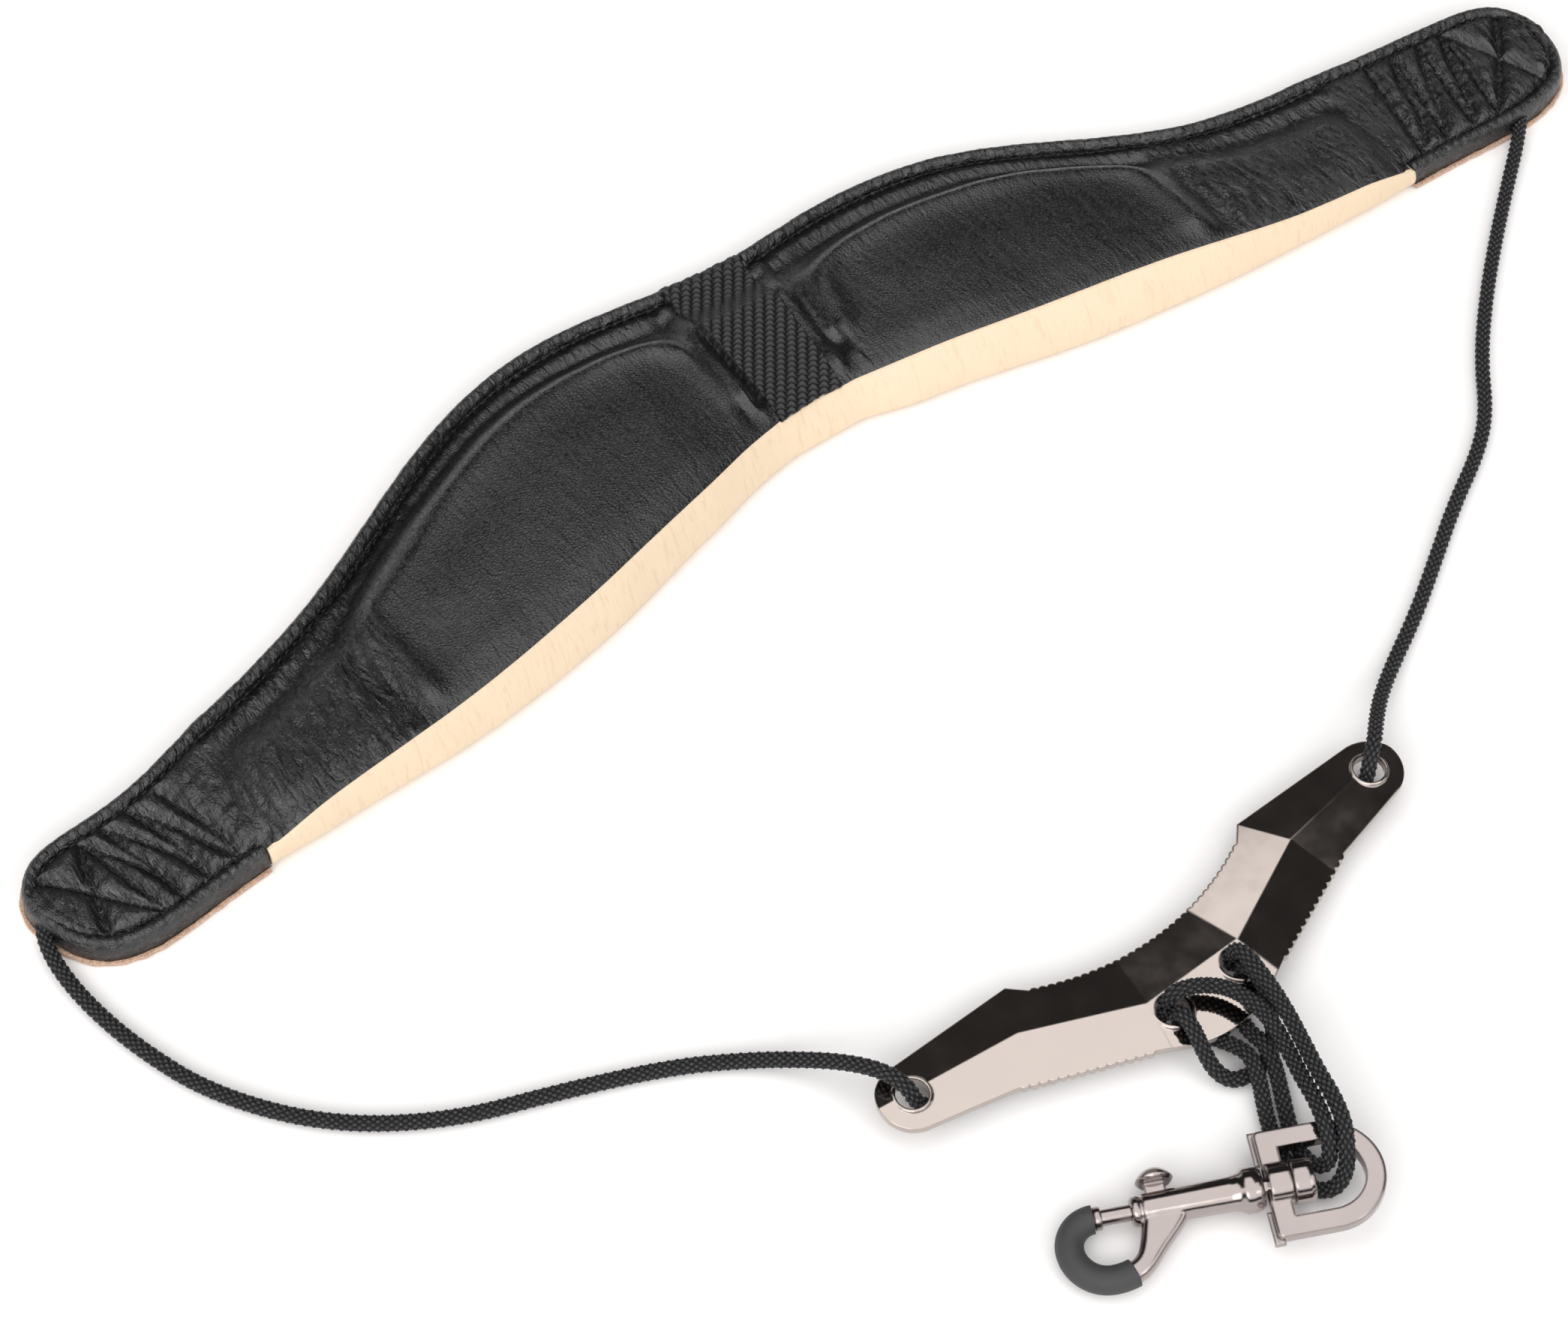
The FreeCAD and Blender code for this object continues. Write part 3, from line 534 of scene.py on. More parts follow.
class Slices:
    """Reads sections of a CAD node at any x."""

    def __init__(self, name):
        mesh = NODES[name].data
        mesh.calc_loop_triangles()
        places = np.array([v.co for v in mesh.vertices], float)
        self.corners = places[np.array([t.vertices for t in mesh.loop_triangles])]
        self.low = self.corners[:, :, 0].min(1)
        self.high = self.corners[:, :, 0].max(1)

    def section(self, x):
        """Pieces of line (y, z)-(y, z) where the node is cut at x."""
        hit = self.corners[(self.low < x) & (self.high > x)]
        lines = []
        for a, b in ((0, 1), (1, 2), (2, 0)):
            t = (x - hit[:, a, 0]) / (hit[:, b, 0] - hit[:, a, 0] + 1e-15)
            point = hit[:, a, 1:] + t[:, None] * (hit[:, b, 1:] - hit[:, a, 1:])
            lines.append((point, (t >= 0) & (t <= 1)))
        found = ([point[k] for point, inside in lines if inside[k]] for k in range(len(hit)))
        return np.array([ends[:2] for ends in found if len(ends) >= 2])

    def reach(self, x):
        """Lowest and highest y of the node at x."""
        ends = self.section(x)
        return ends[:, :, 0].min(), ends[:, :, 0].max()

    def top(self, x, ys):
        """Height of the node's top at x, for each y."""
        ends = self.section(x)
        first, last = ends[:, 0], ends[:, 1]
        low = np.minimum(first[:, 0], last[:, 0])
        high = np.maximum(first[:, 0], last[:, 0])
        ys = np.clip(ys, low.min() + 1e-6, high.max() - 1e-6)
        width = last[:, 0] - first[:, 0]
        width = np.where(np.abs(width) < 1e-9, 1e-9, width)
        t = (ys[:, None] - first[None, :, 0]) / width[None]
        z = first[None, :, 1] + np.clip(t, 0, 1) * (last[:, 1] - first[:, 1])[None]
        inside = (ys[:, None] >= low[None] - 1e-7) & (ys[:, None] <= high[None] + 1e-7)
        return np.where(inside, z, -1).max(1)


# ---- cords
# The routes' points, as the part has them.
CORD_LEFT = [
    (-0.2210, 0.0865, 0.0033), (-0.2285, 0.0805, 0.0033), (-0.2342, 0.0730, 0.00335),
    (-0.2370, 0.0635, 0.0030), (-0.2360, 0.0495, 0.0019), (-0.2317, 0.0319, 0.00185),
    (-0.2234, 0.0119, 0.00185), (-0.2065, -0.0087, 0.00185), (-0.1839, -0.0230, 0.00185),
    (-0.1588, -0.0308, 0.00185), (-0.1360, -0.0392, 0.00185), (-0.1215, -0.0474, 0.0024),
    (-0.1122, -0.0554, 0.0052), (-0.1058, -0.0634, 0.0094), (-0.1014, -0.0710, 0.0123),
    (-0.0989, -0.0766, 0.0109), (-0.0979, -0.0788, 0.0052), (-0.0932, -0.0806, 0.0022),
    (-0.0800, -0.0843, 0.00185), (-0.0645, -0.0876, 0.00185), (-0.0525, -0.0899, 0.00185),
    (-0.0460, -0.0907, 0.0019), (-0.0413, -0.0907, 0.0023), (-0.03855, -0.09062, 0.0049),
    (-0.03855, -0.09062, 0.0081)]
CORD_RIGHT = [
    (0.2205, 0.0860, 0.0033), (0.2145, 0.0775, 0.0034), (0.2055, 0.0686, 0.0030),
    (0.1947, 0.0598, 0.0019), (0.1782, 0.0460, 0.00185), (0.1622, 0.0316, 0.00185),
    (0.1475, 0.0166, 0.00185), (0.1363, 0.0016, 0.00185), (0.1258, -0.0070, 0.00185),
    (0.1105, -0.0160, 0.00185), (0.0955, -0.0264, 0.00185), (0.0806, -0.0366, 0.00185),
    (0.0655, -0.0454, 0.0024), (0.0556, -0.0522, 0.0054), (0.0484, -0.0586, 0.0092),
    (0.0426, -0.0642, 0.0123), (0.0388, -0.0674, 0.0109), (0.0376, -0.0687, 0.0052),
    (0.0329, -0.0704, 0.0022), (0.0185, -0.0754, 0.00185), (0.0035, -0.0806, 0.00185),
    (-0.0085, -0.0852, 0.00185), (-0.0136, -0.0876, 0.00195), (-0.0172, -0.0889, 0.0030),
    (-0.0192, -0.0893, 0.0052), (-0.0192, -0.0893, 0.0081)]
LOOP_INNER = [
    (-0.03855, -0.09062, 0.0083), (-0.0385, -0.0907, 0.0114), (-0.0360, -0.0915, 0.0136),
    (-0.0314, -0.0932, 0.0134), (-0.0270, -0.0966, 0.0130), (-0.0243, -0.1021, 0.0124),
    (-0.0234, -0.1088, 0.0112), (-0.0247, -0.1158, 0.0106), (-0.0268, -0.1230, 0.0112),
    (-0.0286, -0.1294, 0.0130), (-0.0309, -0.1358, 0.0135), (-0.0326, -0.1398, 0.0112),
    (-0.0338, -0.1412, 0.0076), (-0.0352, -0.1392, 0.0044), (-0.0353, -0.1349, 0.0029),
    (-0.0338, -0.1302, 0.0021), (-0.0317, -0.1256, 0.00195), (-0.0291, -0.1202, 0.0028),
    (-0.0269, -0.1146, 0.0053), (-0.0260, -0.1098, 0.0063), (-0.0259, -0.1052, 0.0039),
    (-0.0248, -0.1010, 0.0025), (-0.0226, -0.0973, 0.00235), (-0.0201, -0.0944, 0.0032),
    (-0.01895, -0.09315, 0.0056), (-0.01895, -0.09315, 0.0115), (-0.0186, -0.0989, 0.0111),
    (-0.0198, -0.1032, 0.0095), (-0.0214, -0.1068, 0.0066), (-0.0232, -0.1102, 0.0035),
    (-0.0262, -0.1123, 0.00195), (-0.0302, -0.1126, 0.00185)]
LOOP_OUTER = [
    (-0.0192, -0.0893, 0.0083), (-0.0192, -0.0894, 0.0117), (-0.0192, -0.0919, 0.0146),
    (-0.0193, -0.0966, 0.0152), (-0.0196, -0.1028, 0.0148), (-0.0203, -0.1094, 0.0138),
    (-0.0218, -0.1168, 0.0130), (-0.0239, -0.1242, 0.0135), (-0.0257, -0.1318, 0.0148),
    (-0.0279, -0.1382, 0.0147), (-0.0303, -0.1424, 0.0123), (-0.0320, -0.1450, 0.0080),
    (-0.0349, -0.1457, 0.0044), (-0.0376, -0.1434, 0.0022), (-0.0386, -0.1392, 0.00185),
    (-0.0389, -0.1340, 0.00185), (-0.0377, -0.1284, 0.0019), (-0.0350, -0.1219, 0.0026),
    (-0.0319, -0.1156, 0.0051), (-0.0305, -0.1106, 0.0063), (-0.0306, -0.1060, 0.0039),
    (-0.0323, -0.1018, 0.0025), (-0.0350, -0.0982, 0.00235), (-0.0372, -0.0958, 0.0032),
    (-0.0383, -0.0945, 0.0056), (-0.0383, -0.0945, 0.0115), (-0.0387, -0.1002, 0.0110),
    (-0.0392, -0.1046, 0.0082), (-0.0387, -0.1086, 0.0046), (-0.0364, -0.1114, 0.0022),
    (-0.0334, -0.1125, 0.00185), (-0.0306, -0.1126, 0.00185)]


def route_line(name, points):
    """Points along the smooth curve that a cord follows."""
    curve = bpy.data.curves.new(name + "_route", "CURVE")
    curve.dimensions = "3D"
    spline = curve.splines.new("NURBS")
    spline.points.add(len(points) - 1)
    for point, place in zip(spline.points, points):
        point.co = (*place, 1)
    spline.order_u = 3
    spline.use_endpoint_u = True
    spline.resolution_u = 16
    holder = bpy.data.objects.new(name + "_route", curve)
    mesh = bpy.data.meshes.new_from_object(holder)
    line = np.array([v.co for v in mesh.vertices], float)
    bpy.data.meshes.remove(mesh)
    bpy.data.objects.remove(holder)
    bpy.data.curves.remove(curve)
    return line


def carried_frames(line):
    """Two crosswise directions at each point of a line, carried along without twisting."""
    tangents = unit(np.gradient(line, axis=0))
    side = np.cross(tangents[0], (0, 0, 1.0))
    if np.linalg.norm(side) < 0.2:
        side = np.cross(tangents[0], (1.0, 0, 0))
    sides = []
    for tangent in tangents:
        side = side - tangent * (side @ tangent)
        side /= np.linalg.norm(side)
        sides.append(side)
    sides = np.array(sides)
    return sides, np.cross(tangents, sides)


def braid_height(turn, along):
    """Height from 0 to 1 of a round braid, each strand over one and under one."""
    a = turn * CORD_CARRIERS + along / BRAID_PITCH * CORD_CARRIERS
    b = turn * CORD_CARRIERS - along / BRAID_PITCH * CORD_CARRIERS
    over = (np.floor(a) + np.floor(b)) % 2 < 1
    strand = np.where(over, a, b)
    cross = np.where(over, b, a)
    across = np.abs(np.sin(math.pi * (strand % 1)))
    ends = np.abs(np.sin(math.pi * (cross % 1)))
    return across ** 0.9 * (0.15 + 0.85 * ends ** 0.8)


def braid(name, points, material):
    """Braided cord along its route, and the line that it follows."""
    around = CORD_CARRIERS * 2 * 4
    step = BRAID_PITCH / CORD_CARRIERS / 2 / 4
    line = resample(route_line(name, points), step)
    sides, ups = carried_frames(line)
    turn = np.arange(around) / around
    along = np.arange(len(line)) * step
    rise = braid_height(turn[None, :], along[:, None])
    radius = CORD_D / 2 - 0.00046 + 0.00062 * rise
    angle = math.tau * turn
    out = (sides[:, None] * np.cos(angle)[None, :, None]
           + ups[:, None] * np.sin(angle)[None, :, None])
    skin = line[:, None] + out * radius[..., None]
    skin[..., 2] = np.maximum(skin[..., 2], 0.00002)
    faces = grid_faces(len(line), around, close=True)[:, ::-1]
    obj = mesh_object(name, skin, faces, material)
    store(obj, "rise", rise)
    return obj, line


def make_cords():
    material = braided_cord()
    at_ring = ("yoke", "ring", (-0.03, -0.1145, 0), (-0.03, -0.1275, 0))
    rows = [("cord_left", CORD_LEFT, (-0.2368, 0.0660, 0.0031), "pad", "yoke",
             (-0.12, 0.040, 0), (-0.12, -0.050, 0)),
            ("cord_right", CORD_RIGHT, (0.2120, 0.0755, 0.0033), "pad", "yoke",
             (0.12, 0.040, 0), (0.12, -0.045, 0)),
            ("loop_inner", LOOP_INNER, LOOP_INNER[0], *at_ring),
            ("loop_outer", LOOP_OUTER, LOOP_OUTER[0], *at_ring)]
    for node, points, leaves, first, second, start, end in rows:
        obj, line = braid(node + "_braid", points, material)
        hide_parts(node)
        resample(line, 0.001)
        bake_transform(obj)


# ---- padded band
class Band:
    """Plan outline and height of one half of the band, read from its CAD pieces."""

    def __init__(self, side):
        self.side = side
        self.half = ("left", "right").index(side)
        self.sign = (-1, 1)[self.half]
        self.notch = NOTCH[self.half]
        self.leather = Slices("top_leather_" + side)
        self.middle = Slices("centre_webbing")
        self.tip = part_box("edge_binding_" + side)[self.half].x
        rim = Slices("edge_binding_" + side)
        self.tongue_x = self.stations(self.tip, 0.02, 46)
        self.tongue_x[-1] = self.notch + self.sign * 2e-5
        self.tongue_near, self.tongue_far = np.array([rim.reach(x) for x in self.tongue_x]).T
        self.lobe_x = np.linspace(self.notch - self.sign * 2e-4,
                                  LOBE_END[self.half] + self.sign * 2e-4, 90)
        self.lobe_far = soften([rim.reach(x)[1] for x in self.lobe_x], 4)
        self.lobe_near = soften([self.leather.reach(x)[0] for x in self.lobe_x], 4)

    def stations(self, tip, first, count):
        """x from a tongue's tip to its notch, closer together near the tip."""
        turn = np.linspace(first, math.pi / 2, count)
        return tip - self.sign * abs(self.notch - tip) * (1 - np.cos(turn))

    def middle_edge(self, x, end):
        """Near or far edge of the webbing's part of the band."""
        return self.middle.reach(float(np.clip(x, *WEB_LIMITS)))[end]

    def far(self, x):
        return self.look(x, self.tongue_far, self.lobe_far)

    def near(self, x):
        return self.look(x, self.tongue_near, self.lobe_near)

    def look(self, x, tongue, lobe):
        xs = np.r_[self.tongue_x, self.lobe_x]
        values = np.r_[tongue, lobe]
        order = np.argsort(xs)
        return np.interp(x, xs[order], values[order])

    def web_line(self, y):
        """x of the webbing's edge on this side, at each y."""
        return np.interp(y, WEB_SPAN, (WEB_NEAR[self.half], WEB_FAR[self.half]))

    def tongue_outline(self):
        """Line round the tongue, from the far edge at the notch to the near one."""
        far = np.stack([self.tongue_x, self.tongue_far], -1)[::-1]
        near = np.stack([self.tongue_x, self.tongue_near], -1)
        tip = np.array([[self.tip, (far[-1, 1] + near[0, 1]) / 2]])
        return np.concatenate([far, tip, near])


# Stitched rows across each tongue, in tenths of a millimetre: a zigzag of seven that turns at
# every third point, and a cross at the tip.
QUILT = (([
    (-1963, 862), (-1926, 757), (-1897, 678), (-1886, 594), (-1947, 703), (-1992, 785),
    (-2053, 868), (-2022, 788), (-1991, 705), (-1974, 588), (-1994, 665), (-2052, 757),
    (-2122, 855), (-2094, 753), (-2062, 663), (-2045, 571), (-2066, 655), (-2107, 736),
    (-2180, 840), (-2142, 729), (-2120, 647), (-2094, 566)],
    [(-2180, 840), (-2200, 791), (-2211, 731), (-2239, 585)],
    [(-2315, 807), (-2254, 750), (-2193, 675), (-2094, 566)]), ([
    (1869, 1120), (1844, 995), (1816, 868), (1790, 768), (1874, 877), (1908, 1006), (1955, 1107),
    (1934, 987), (1901, 864), (1880, 774), (1925, 863), (1981, 978), (2047, 1102), (2010, 947),
    (1989, 863), (1978, 776), (2029, 890), (2068, 985), (2119, 1094), (2106, 980), (2074, 859),
    (2059, 776)],
    [(2119, 1094), (2166, 995), (2193, 927), (2245, 795)],
    [(2287, 1056), (2222, 968), (2148, 875), (2059, 776)]))


def quilt_lines(band):
    """Stitched rows of a tongue, each as a smooth line in plan."""
    zigzag, *cross = QUILT[band.half]
    rows = [zigzag[k:k + 4] for k in range(0, len(zigzag) - 1, 3)] + cross
    return [soften(resample(np.array(row) / TENTHS, 0.001), 5) for row in rows]


def foam_distance(band, x, y):
    """Distance from the foam's edge, positive over the foam."""
    line = soften(resample(np.array(FOAM[band.half]) / TENTHS, 0.001), 7)
    best = line_distance(x, y, line[::3])
    corner = line[:1] * (1, 0) + (0, 0.02)
    loop = np.concatenate([line, line[-1:] * (1, 0) + (0, 0.02), corner])
    inside = np.zeros(x.shape, bool)
    for (x1, y1), (x2, y2) in zip(loop, np.roll(loop, -1, axis=0)):
        if abs(y2 - y1) < 1e-9:
            continue
        crossed = (y1 > y) != (y2 > y)
        inside ^= crossed & (x < (x2 - x1) * (y - y1) / (y2 - y1) + x1)
    return np.where(inside, best, -best)


def leather_surface(band, x, y):
    """What the top leather adds to the plain shape: its quilting, edges and gathers."""
    far = band.far(x)
    near = band.near(x)
    in_tongue = smoothstep(band.sign * (x - band.notch), -0.004, 0.001)
    lobe = 1 - in_tongue
    from_far = far - y
    off_seam = smoothstep(y - near, 0.0006, 0.009)
    deep = foam_distance(band, x, y)
    z = np.zeros_like(x)
    # dip along the binding's stitches, then a flat shelf up to the foam
    z -= 0.0011 * hump(from_far, BINDING_W + 0.0007, 0.0014) * lobe
    z += 0.0005 * hump(from_far, BINDING_W + 0.0042, 0.0022) * lobe
    # the foam's rim stands up a little, with a valley outside it
    z += off_seam * lobe * (0.0011 * hump(deep, 0.0022, 0.0036)
                            - 0.0017 * hump(deep, -0.0052, 0.0042)
                            - 0.0004 * hump(deep, 0.0130, 0.0080))
    # a small roll beside the webbing
    beside = band.sign * (x - band.web_line(y))
    z += off_seam * (0.0007 * hump(beside, 0.0024, 0.0017)
                     - 0.0006 * hump(beside, 0.0056, 0.0020))
    # last puff before the tongue
    z += 0.0016 * hump(band.sign * (x - band.notch), -0.010, 0.0065) * lobe \
        * hump(y, (far + near) / 2 - 0.002, 0.013)
    # rounding at the seam
    z -= 0.0007 * hump(y, near, 0.0014) * lobe
    z += 0.00025 * ripple(x, y, 0.034, 1 + band.sign) * lobe * off_seam
    # fine gathers across the narrow part
    outside = band.sign * x - GATHER_START[band.half]
    gather = smoothstep(outside, -0.004, 0.006) * (1 - 0.45 * smoothstep(outside, 0.012, 0.03))
    gather = gather * lobe
    across = band.sign * x + GATHER_LEAN[band.half] * y
    bend = 0.0016 * ripple(x, y, 0.019, 4)
    wave = np.sin(math.tau * (across + bend) / 0.0026)
    other = np.sin(math.tau * (across * 1.3 + 1.4 * bend) / 0.0044)
    patch = np.clip(0.5 + 0.8 * ripple(x, y, 0.012, 6), 0, 1)
    z += 0.00019 * gather * off_seam * (wave * patch + other * (1 - patch))
    # quilted tongue
    puff = np.full_like(x, 9.0)
    for row in quilt_lines(band):
        corners = np.concatenate([row[:-1:3], row[-1:]])
        puff = np.minimum(puff, line_distance(x, y, corners))
    edge = np.minimum(from_far, y - near) - BINDING_W
    puff = np.minimum(puff, np.maximum(edge, 0) + 0.0002)
    rise = 1 - np.exp(-(puff / 0.0015) ** 1.3)
    z += in_tongue * (-0.0014 + 0.0026 * rise)
    z += in_tongue * 0.00016 * ripple(x, y, 0.0042, 8 + band.sign)
    gathered = np.clip(0.12 + 0.9 * gather + 0.35 * in_tongue, 0, 1.1)
    shelf = hump(from_far, BINDING_W + 0.003, 0.003) * lobe
    return z, np.clip(gathered + 0.4 * shelf, 0, 1.2)


def make_top_leather(band, material):
    step, rows = 0.0006, 110
    tongue = band.stations(band.tip, 0.10, 80)
    end = LEATHER_END[band.half]
    lobe = np.arange(band.notch, end, -band.sign * step)[1:]
    xs = np.concatenate([tongue, lobe, [end]])
    share = np.linspace(0, 1, rows)
    limit = LEATHER_LIMITS[band.half]
    under_web = band.sign * (xs - limit) < 0
    fars, nears = (np.array([band.middle_edge(x, side) if hidden else look(x)
                             for x, hidden in zip(xs, under_web)])
                   for side, look in ((1, band.far), (0, band.near)))
    nears[len(tongue):] = soften(nears[len(tongue):], 6)
    nears += 0.0026 * smoothstep(band.sign * (xs - band.notch), -0.0012, 0.0002)
    tip_limit = band.tip - band.sign * 0.0052
    y, base = [], []
    for x, far, near in zip(xs, fars, nears):
        ys = far - 0.0028 + (near - far + 0.0028) * share
        if band.sign * (x - tip_limit) > 0:
            heights = np.full(rows, TONGUE_TOP)
        else:
            read = limit if band.sign * (x - limit) < 0 else x
            heights = band.leather.top(read + band.sign * 1e-5, ys)
        y.append(ys)
        base.append(heights)
    x, y = np.repeat(xs[:, None], rows, 1), np.array(y)
    base = soften(soften(base, 6).T, 7).T
    extra, gathered = leather_surface(band, x, y)
    skin = np.stack([x, y, base + extra], -1)
    # the near edge turns down behind the tan wall
    tuck = skin[:, -1:] - (0, 0.0003, 0.0008)
    under = tuck + (0, 0.0008, -0.0004)
    skin = np.concatenate([skin, tuck, under], 1)
    gathered = np.pad(gathered, ((0, 0), (0, 2)), mode="edge")
    faces = grid_faces(len(xs), rows + 2)
    if band.side == "right":
        faces = faces[:, ::-1]
    obj = mesh_object("leather_top_" + band.side, skin, faces, material)
    store(obj, "gathered", gathered)
    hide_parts("top_leather_" + band.side, "foam_core_" + band.side,
                "tongue_filler_" + band.side)
    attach(obj, "pad")
    return obj


def rim_path(band):
    """Plan line of the outer edge, from the webbing round the tip to the notch."""
    xs = np.linspace(WEB_FAR[band.half], band.notch - band.sign * 0.001, 160)
    far = np.stack([xs, band.far(xs)], -1)
    line = np.concatenate([far, band.tongue_outline()])
    return soften(resample(line, RIM_STEP), 6)


def make_binding(band, material):
    """Folded strip of leather round the edge, puckered along its stitches."""
    line = rim_path(band)
    tangents = unit(np.gradient(line, axis=0))
    inward = np.stack([tangents[:, 1], -tangents[:, 0]], -1) * band.sign
    along = np.arange(len(line)) * RIM_STEP
    pucker = 0.5 + 0.5 * np.sin(math.tau * along / STITCH_PITCH)
    # height of the shelf that the strip lies on
    narrow = smoothstep(band.sign * (line[:, 0] - band.notch), -0.02, 0.0)
    shelf = LOBE_EDGE_TOP + (TONGUE_TOP - LOBE_EDGE_TOP) * narrow
    profile = [(-0.0002, 0.0012), (-0.0001, 0.0022), (0.0, 0.0034), (0.0002, 0.0046),
               (0.0007, 0.0056), (0.0015, 0.0063), (0.0024, 0.0065), (0.0033, 0.0063),
               (0.0041, 0.0058), (0.0047, 0.0051), (0.0050, 0.0044), (0.0046, 0.0036)]
    rings = []
    for k, (inset, height) in enumerate(profile):
        inset = inset * BINDING_W / 0.005
        crease = ripple(along, np.full_like(along, k * 0.0009), 0.0021, 3)
        round_over = hump(np.array(inset), 0.0030, 0.0026)
        z = height + (shelf - 0.0058) * smoothstep(np.array(height), 0.002, 0.0055)
        z = z + round_over * (0.00022 * pucker + 0.00012 * crease)
        shift = inset + 0.00010 * crease + 0.00012 * ripple(along, along * 0, 0.013, 6)
        rings.append(np.c_[line + inward * shift[:, None], z])
    skin = close_ends(np.stack(rings, 1))
    faces = grid_faces(len(skin), len(profile), close=True)
    obj = mesh_object("binding_" + band.side, skin, faces, material)
    with edited(obj) as work:
        bmesh.ops.recalc_face_normals(work, faces=work.faces)
    obj.data.update()
    store(obj, "gathered", np.full(len(obj.data.vertices), 0.5))
    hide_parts("edge_binding_" + band.side)
    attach(obj, "pad")
    return line, inward


def close_ends(skin):
    """Add a shrunken ring at both ends of a swept skin, so that it looks closed."""
    centres = skin[[0, -1]].mean(1, keepdims=True)
    first, last = np.split(centres + (skin[[0, -1]] - centres) * 0.05, 2)
    return np.concatenate([first, skin, last])


def make_lining(bands, tan, raw):
    """Tan underside and near wall, and the cut slabs under the tongues."""
    lining = Slices("lining_leather")
    xs = np.linspace(NOTCH[0] + 3e-4, NOTCH[1] - 3e-4, 620)
    loops, wall_tops = [], []
    for x in xs:
        flat = lining.section(x).reshape(-1, 2)
        far, foot = flat[:, 0].max(), flat[:, 0].min()
        loops.append([(far, 0.0012), (far, 0.0), ((far + foot) / 2, 0.0), (foot + 0.004, 0.0)])
        wall_tops.append((*flat[flat[:, 1].argmax()], foot))
    tops = soften(wall_tops, 9)
    loops = soften(loops, 6)
    skin = []
    share = np.linspace(0, 1, 26)
    wobble = 0.5 + 0.5 * ripple(xs, xs * 0, 0.022, 9)
    for k, x in enumerate(xs):
        seam_y, seam_z, foot = tops[k]
        seam_z = seam_z - 0.0002
        # the wall bulges out at its foot and rolls in under the black leather
        wall = bezier([(foot + 0.004, 0.0), (foot - 0.0012, 0.0002),
                       (foot - 0.0006 * wobble[k], 0.45 * seam_z),
                       (seam_y - 0.0012, seam_z - 0.0016), (seam_y + 0.0002, seam_z)], share)
        points = [*loops[k], *wall[1:], (seam_y + 0.0016, seam_z - 0.0002)]
        skin.append([(x, y, z) for y, z in points])
    skin = np.array(skin)
    count = skin.shape[1]
    # little puckers where the wall is sewn to the top leather
    for k, s in enumerate(share[1:], loops.shape[1]):
        crease = ripple(xs, xs * 0 + s * 0.004, 0.0045, 11)
        skin[:, k, 1] -= 0.00016 * crease * s ** 2 * (1.2 - s)
    faces = grid_faces(len(xs), count)
    obj = mesh_object("lining_wall", skin, faces, tan)
    obj.data.materials.append(raw)
    with edited(obj) as work:
        for start in (0, (len(xs) - 1) * count):
            work.faces.new([work.verts[start + k] for k in range(count)])
        bmesh.ops.recalc_face_normals(work, faces=work.faces)
    for band in bands:
        add_tongue_slab(obj, band, lining)
    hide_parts("lining_leather")
    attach(obj, "pad")


def bezier(controls, t):
    """Points on the Bezier curve of the control points."""
    controls = np.array(controls, float)
    degree = len(controls) - 1
    out = np.zeros((len(t), controls.shape[1]))
    for k, point in enumerate(controls):
        out += math.comb(degree, k) * (t ** k * (1 - t) ** (degree - k))[:, None] * point
    return out


def add_tongue_slab(obj, band, lining):
    """Cut leather slab under a tongue, with its rough edge."""
    xs = band.stations(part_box("lining_leather")[band.half].x, 0.03, 60)
    xs[-1] = band.notch + band.sign * 4e-4
    near, far = np.array([lining.reach(x) for x in xs]).T
    outline = np.concatenate([np.stack([xs, far], -1)[::-1], np.stack([xs, near], -1)])
    outline = resample(outline, 0.0012)
    fray = 0.00018 * ripple(outline[:, 0], outline[:, 1], 0.004, 13)
    away = unit(outline - outline.mean(0))
    outline = outline + away * fray[:, None]
    with edited(obj) as work:
        rings = []
        for inset, z in ((0.0003, 0.0), (0.0, 0.0003), (0.0, 0.0009), (0.0002, LEATHER)):
            rings.append([work.verts.new((*(p - a * inset), z)) for p, a in zip(outline, away)])
        for low, high in zip(rings, rings[1:]):
            for k in range(len(outline)):
                after = (k + 1) % len(outline)
                face = work.faces.new((low[k], low[after], high[after], high[k]))
                face.material_index = 1
                face.smooth = True
        under, over = work.faces.new(rings[0]), work.faces.new(rings[-1])
        over.material_index = 1
        bmesh.ops.recalc_face_normals(work, faces=work.faces)
        bmesh.ops.triangulate(work, faces=[under, over])


